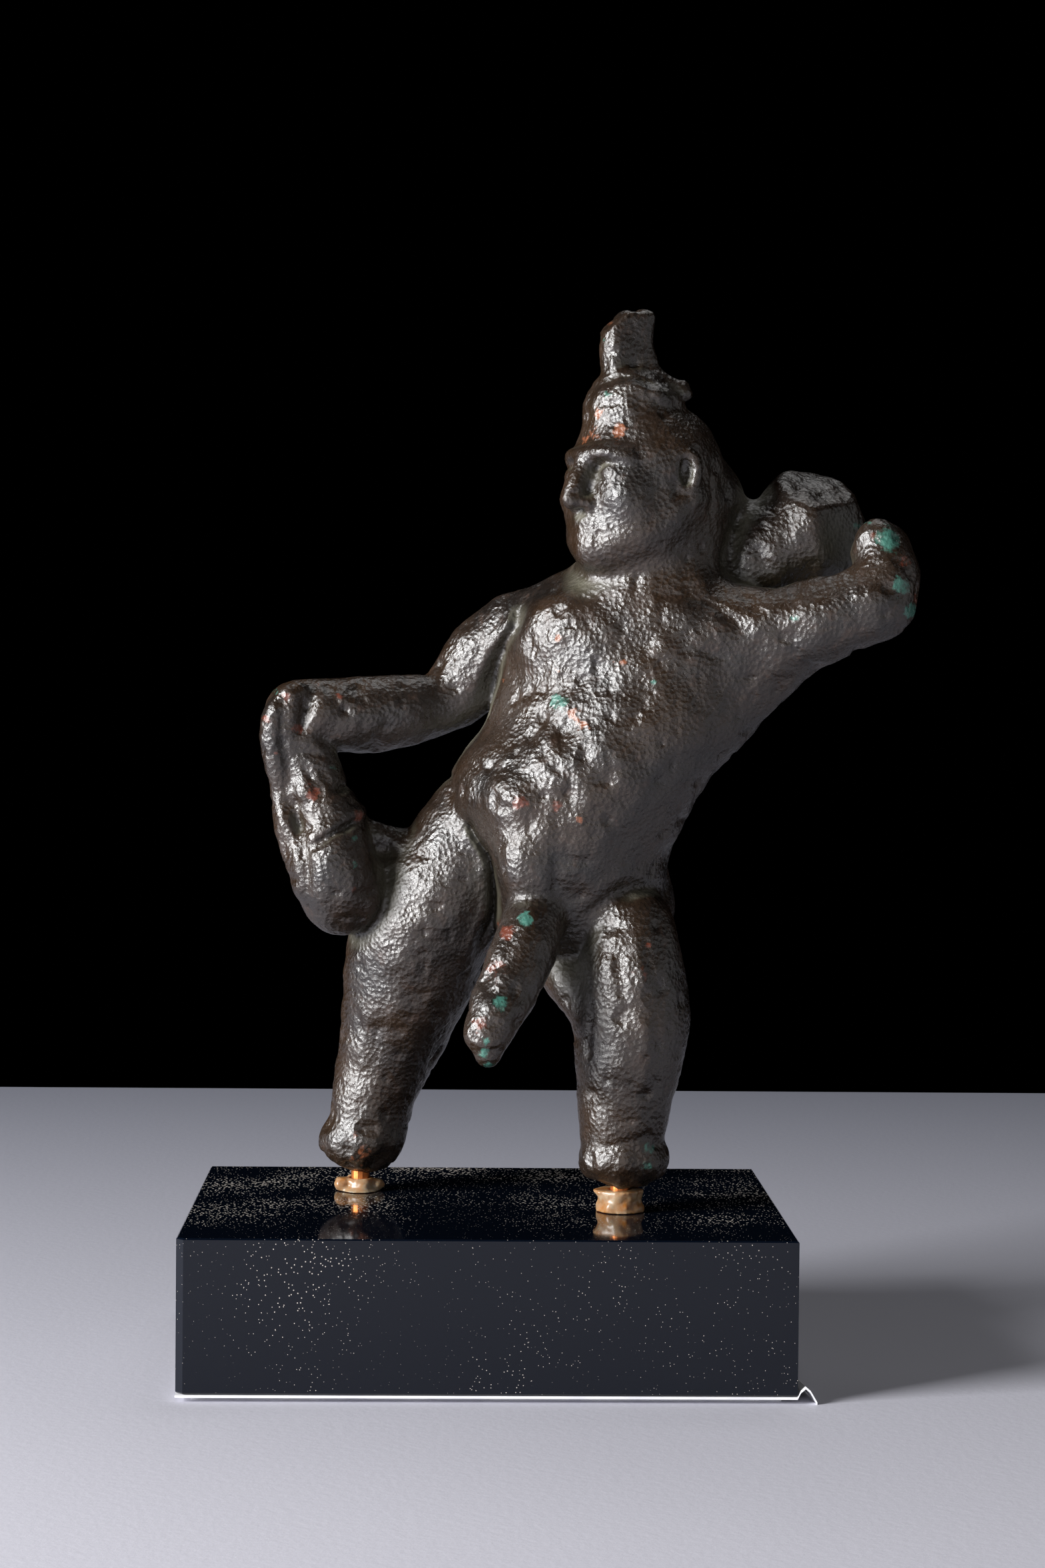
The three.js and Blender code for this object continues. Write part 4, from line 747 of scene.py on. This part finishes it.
def palePlasticFilm():
    # Thin protective plastic film, milky white with a slight sheen
    material, tree = newMaterial("milky_plastic_film")
    place = objectPlace(tree)
    cloud = addNode(tree, "TexNoise", links={"Vector": place, "Scale": 300.0, "Detail": 3.0})
    tone = addNode(tree, "MapRange", links={0: cloud.outputs[0], 1: 0.4, 2: 0.7, 3: 0.0, 4: 1.0})
    colour = mixColour(tree, tone.outputs[0], linear("#f1f1f4"), linear("#dcdce4"))
    surface = addNode(tree, "BsdfPrincipled", links={"Base Color": colour, "Roughness": 0.4, "IOR": 1.5})
    addNode(tree, "OutputMaterial", links={"Surface": surface.outputs[0]})
    return material


def paleFloor():
    # Plain painted board, pale lavender grey and matt, with a faint tooth; its colour darkens evenly to the back as
    # painted shade, standing in for the light falling off
    material, tree = newMaterial("pale_board_painted_shade")
    place = objectPlace(tree)
    tooth = addNode(tree, "TexNoise", links={"Vector": place, "Scale": 1200.0, "Detail": 4.0, "Roughness": 0.6})
    bump = addNode(tree, "Bump", links={"Strength": 0.25, "Distance": 0.0001, "Height": tooth.outputs[0]})
    depth = addNode(tree, "SeparateXYZ", links={0: place})
    # Painted shade: the colour runs from pale at the front to darker grey at the back, in place of the light's falloff
    paintedShade = addNode(tree, "MapRange", links={0: depth.outputs[1], 1: -0.06, 2: 0.18, 3: 0.0, 4: 1.0})
    colour = mixColour(tree, paintedShade.outputs[0], linear("#c9c8d2"), linear("#8d8f9c"))
    surface = addNode(tree, "BsdfPrincipled", links={
        "Base Color": colour, "Roughness": 0.7, "Normal": bump.outputs[0],
    })
    addNode(tree, "OutputMaterial", links={"Surface": surface.outputs[0]})
    return material


# Adhesive: each collar is a field of its own, at the heights that the figure is worked out in
def glueForm(x, y, forms, top):
    grid = makeGrid((x - 2.6, y - 2.6, 12.4), (x + 2.6, y + 2.6, top + 0.6), 0.13)
    for form, soft in forms:
        add(grid, form, soft)
    corner, places = window(grid, (x - 9, y - 9, 12), (x + 9, y + 9, 17))
    across, deep, high = [axis.ravel() for axis in places]
    spots = np.stack(np.meshgrid(across, deep, high, indexing="ij"), -1).reshape(-1, 3)
    rough = 0.14*noise(spots, 0.7, 11) + 0.08*noise(spots, 0.35, 12)
    grid["value"][corner] += rough.reshape(len(across), len(deep), len(high)).astype(np.float32)
    for height, way in [(12.75, -1), (top, 1)]:
        carve(grid, halfSpace((x, y, height), (0, 0, way), (x - 9, y - 9, 12), (x + 9, y + 9, 17)), 0.05)
    carve(grid, limb([(x, y, 11, 0.86), (x, y, 17, 0.86)]), 0.05)
    return skin(grid)


glueForms = {
    # Broken flakes round a bare pin
    "glue_left": (-11.0, 5.4, 13.9, [
        (limb([(-11.0, 5.4, 12.7, 1.9), (-11.0, 5.4, 13.1, 1.35)]), 0.3),
        (egg((-12.5, 5.2, 13.3), (0.75, 0.8, 0.7)), 0.2),
        (egg((-9.6, 5.6, 13.2), (0.7, 0.9, 0.6)), 0.2),
        (egg((-11.2, 6.8, 13.5), (1.1, 0.6, 0.8)), 0.2),
    ]),
    # A waisted collar that flares under the stump
    "glue_right": (11.4, -4.7, 14.6, [
        (limb([(11.4, -4.7, 12.7, 2.05), (11.3, -4.7, 13.5, 1.7), (11.4, -4.7, 14.7, 2.0)]), 0.3),
        (egg((9.9, -4.9, 14.5), (0.8, 1.0, 0.4)), 0.3),
        (egg((12.6, -5.2, 13.0), (0.9, 0.9, 0.5)), 0.3),
    ]),
}


print("materials")
bronze = bronzePatina()
acrylic = blackAcrylic()
copper = copperRod()
glue = oldGlue()
film = palePlasticFilm()

bronzeFigure.data.materials.append(bronze)
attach(bronzeFigure, "root")
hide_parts("figure")

for node, (x, y, top, forms) in glueForms.items():
    gluePoints, glueQuads = glueForm(x, y, forms, top)
    collar = makeMesh(node + "_collar", gluePoints + [0, 0, figure["rise"]], glueQuads)
    collar.data.materials.append(glue)
    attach(collar, "root")
    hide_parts(node)
    print(node, len(glueQuads)*2, "triangles")

for node, material in [("plinth", acrylic), ("pin_left", copper), ("pin_right", copper), ("base_film", film)]:
    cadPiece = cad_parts[node]
    cadPiece.data.materials.clear()
    cadPiece.data.materials.append(material)


stageSizes = {"halfWidth": 400, "near": -330, "far": 178}


def makeFloor():
    # One level rectangle, from before the camera to the back edge
    s = stageSizes
    corners = [
        (-s["halfWidth"], s["near"], 0), (s["halfWidth"], s["near"], 0),
        (s["halfWidth"], s["far"], 0), (-s["halfWidth"], s["far"], 0),
    ]
    floor = makeMesh("floor", corners, [(0, 1, 2, 3)], smooth=False)
    floor.data.materials.append(paleFloor())


def addLight(name, place, size, power, colour="#ffffff", target=(0, 0, 40)):
    # A soft rectangular light, with its width and height, that faces the target
    away = np.subtract(place, target).astype(float)
    away = away/np.linalg.norm(away)
    right = np.cross([0, 0, 1], away)
    right = right/np.linalg.norm(right)
    up = np.cross(away, right)
    lamp = bpy.data.lights.new(name, "AREA")
    lamp.shape = "RECTANGLE"
    lamp.size = size[0]*mm
    lamp.size_y = size[1]*mm
    lamp.energy = power
    lamp.color = linear(colour)[:3]
    holder = bpy.data.objects.new(name, lamp)
    bpy.context.scene.collection.objects.link(holder)
    holder.matrix_world = Matrix([
        (right[0], up[0], away[0], place[0]*mm),
        (right[1], up[1], away[1], place[1]*mm),
        (right[2], up[2], away[2], place[2]*mm),
        (0, 0, 0, 1),
    ])


def addCamera():
    # The photograph's view: just left of the middle, level with the chest, nearly straight on
    yaw, pitch, roll = np.radians([1.49, 1.66, 0.54])
    right = np.array([np.cos(yaw), -np.sin(yaw), 0])
    ahead = np.array([np.sin(yaw), np.cos(yaw), 0])
    up = np.array([0, 0, 1.0])
    ahead, up = ahead*np.cos(pitch) - up*np.sin(pitch), up*np.cos(pitch) + ahead*np.sin(pitch)
    right, up = right*np.cos(roll) + up*np.sin(roll), up*np.cos(roll) - right*np.sin(roll)
    lens = bpy.data.cameras.new("camera")
    lens.sensor_fit = "VERTICAL"
    lens.sensor_height = 24
    lens.lens = 24*4600/2353
    lens.clip_start = 0.01
    holder = bpy.data.objects.new("camera", lens)
    bpy.context.scene.collection.objects.link(holder)
    place = np.array([-4.0, -265.3, 57.3])*mm
    holder.matrix_world = Matrix([
        (right[0], up[0], -ahead[0], place[0]),
        (right[1], up[1], -ahead[1], place[1]),
        (right[2], up[2], -ahead[2], place[2]),
        (0, 0, 0, 1),
    ])
    bpy.context.scene.camera = holder


print("floor, lights and camera")
makeFloor()
addLight("key_side", (-410, -218, 164), (200, 200), 5.6)
addLight("top_back", (60, 150, 420), (200, 200), 0.26)
addLight("fill_right", (260, -60, 90), (200, 200), 0.05)
addLight("front_low", (60, -330, 60), (200, 200), 0.14)
bpy.context.scene.view_settings.view_transform = "Standard"
world = bpy.data.worlds.new("dark_studio")
world.use_nodes = True
world.node_tree.nodes["Background"].inputs[0].default_value = (0.0, 0.0, 0.0, 1)
bpy.context.scene.world = world
addCamera()
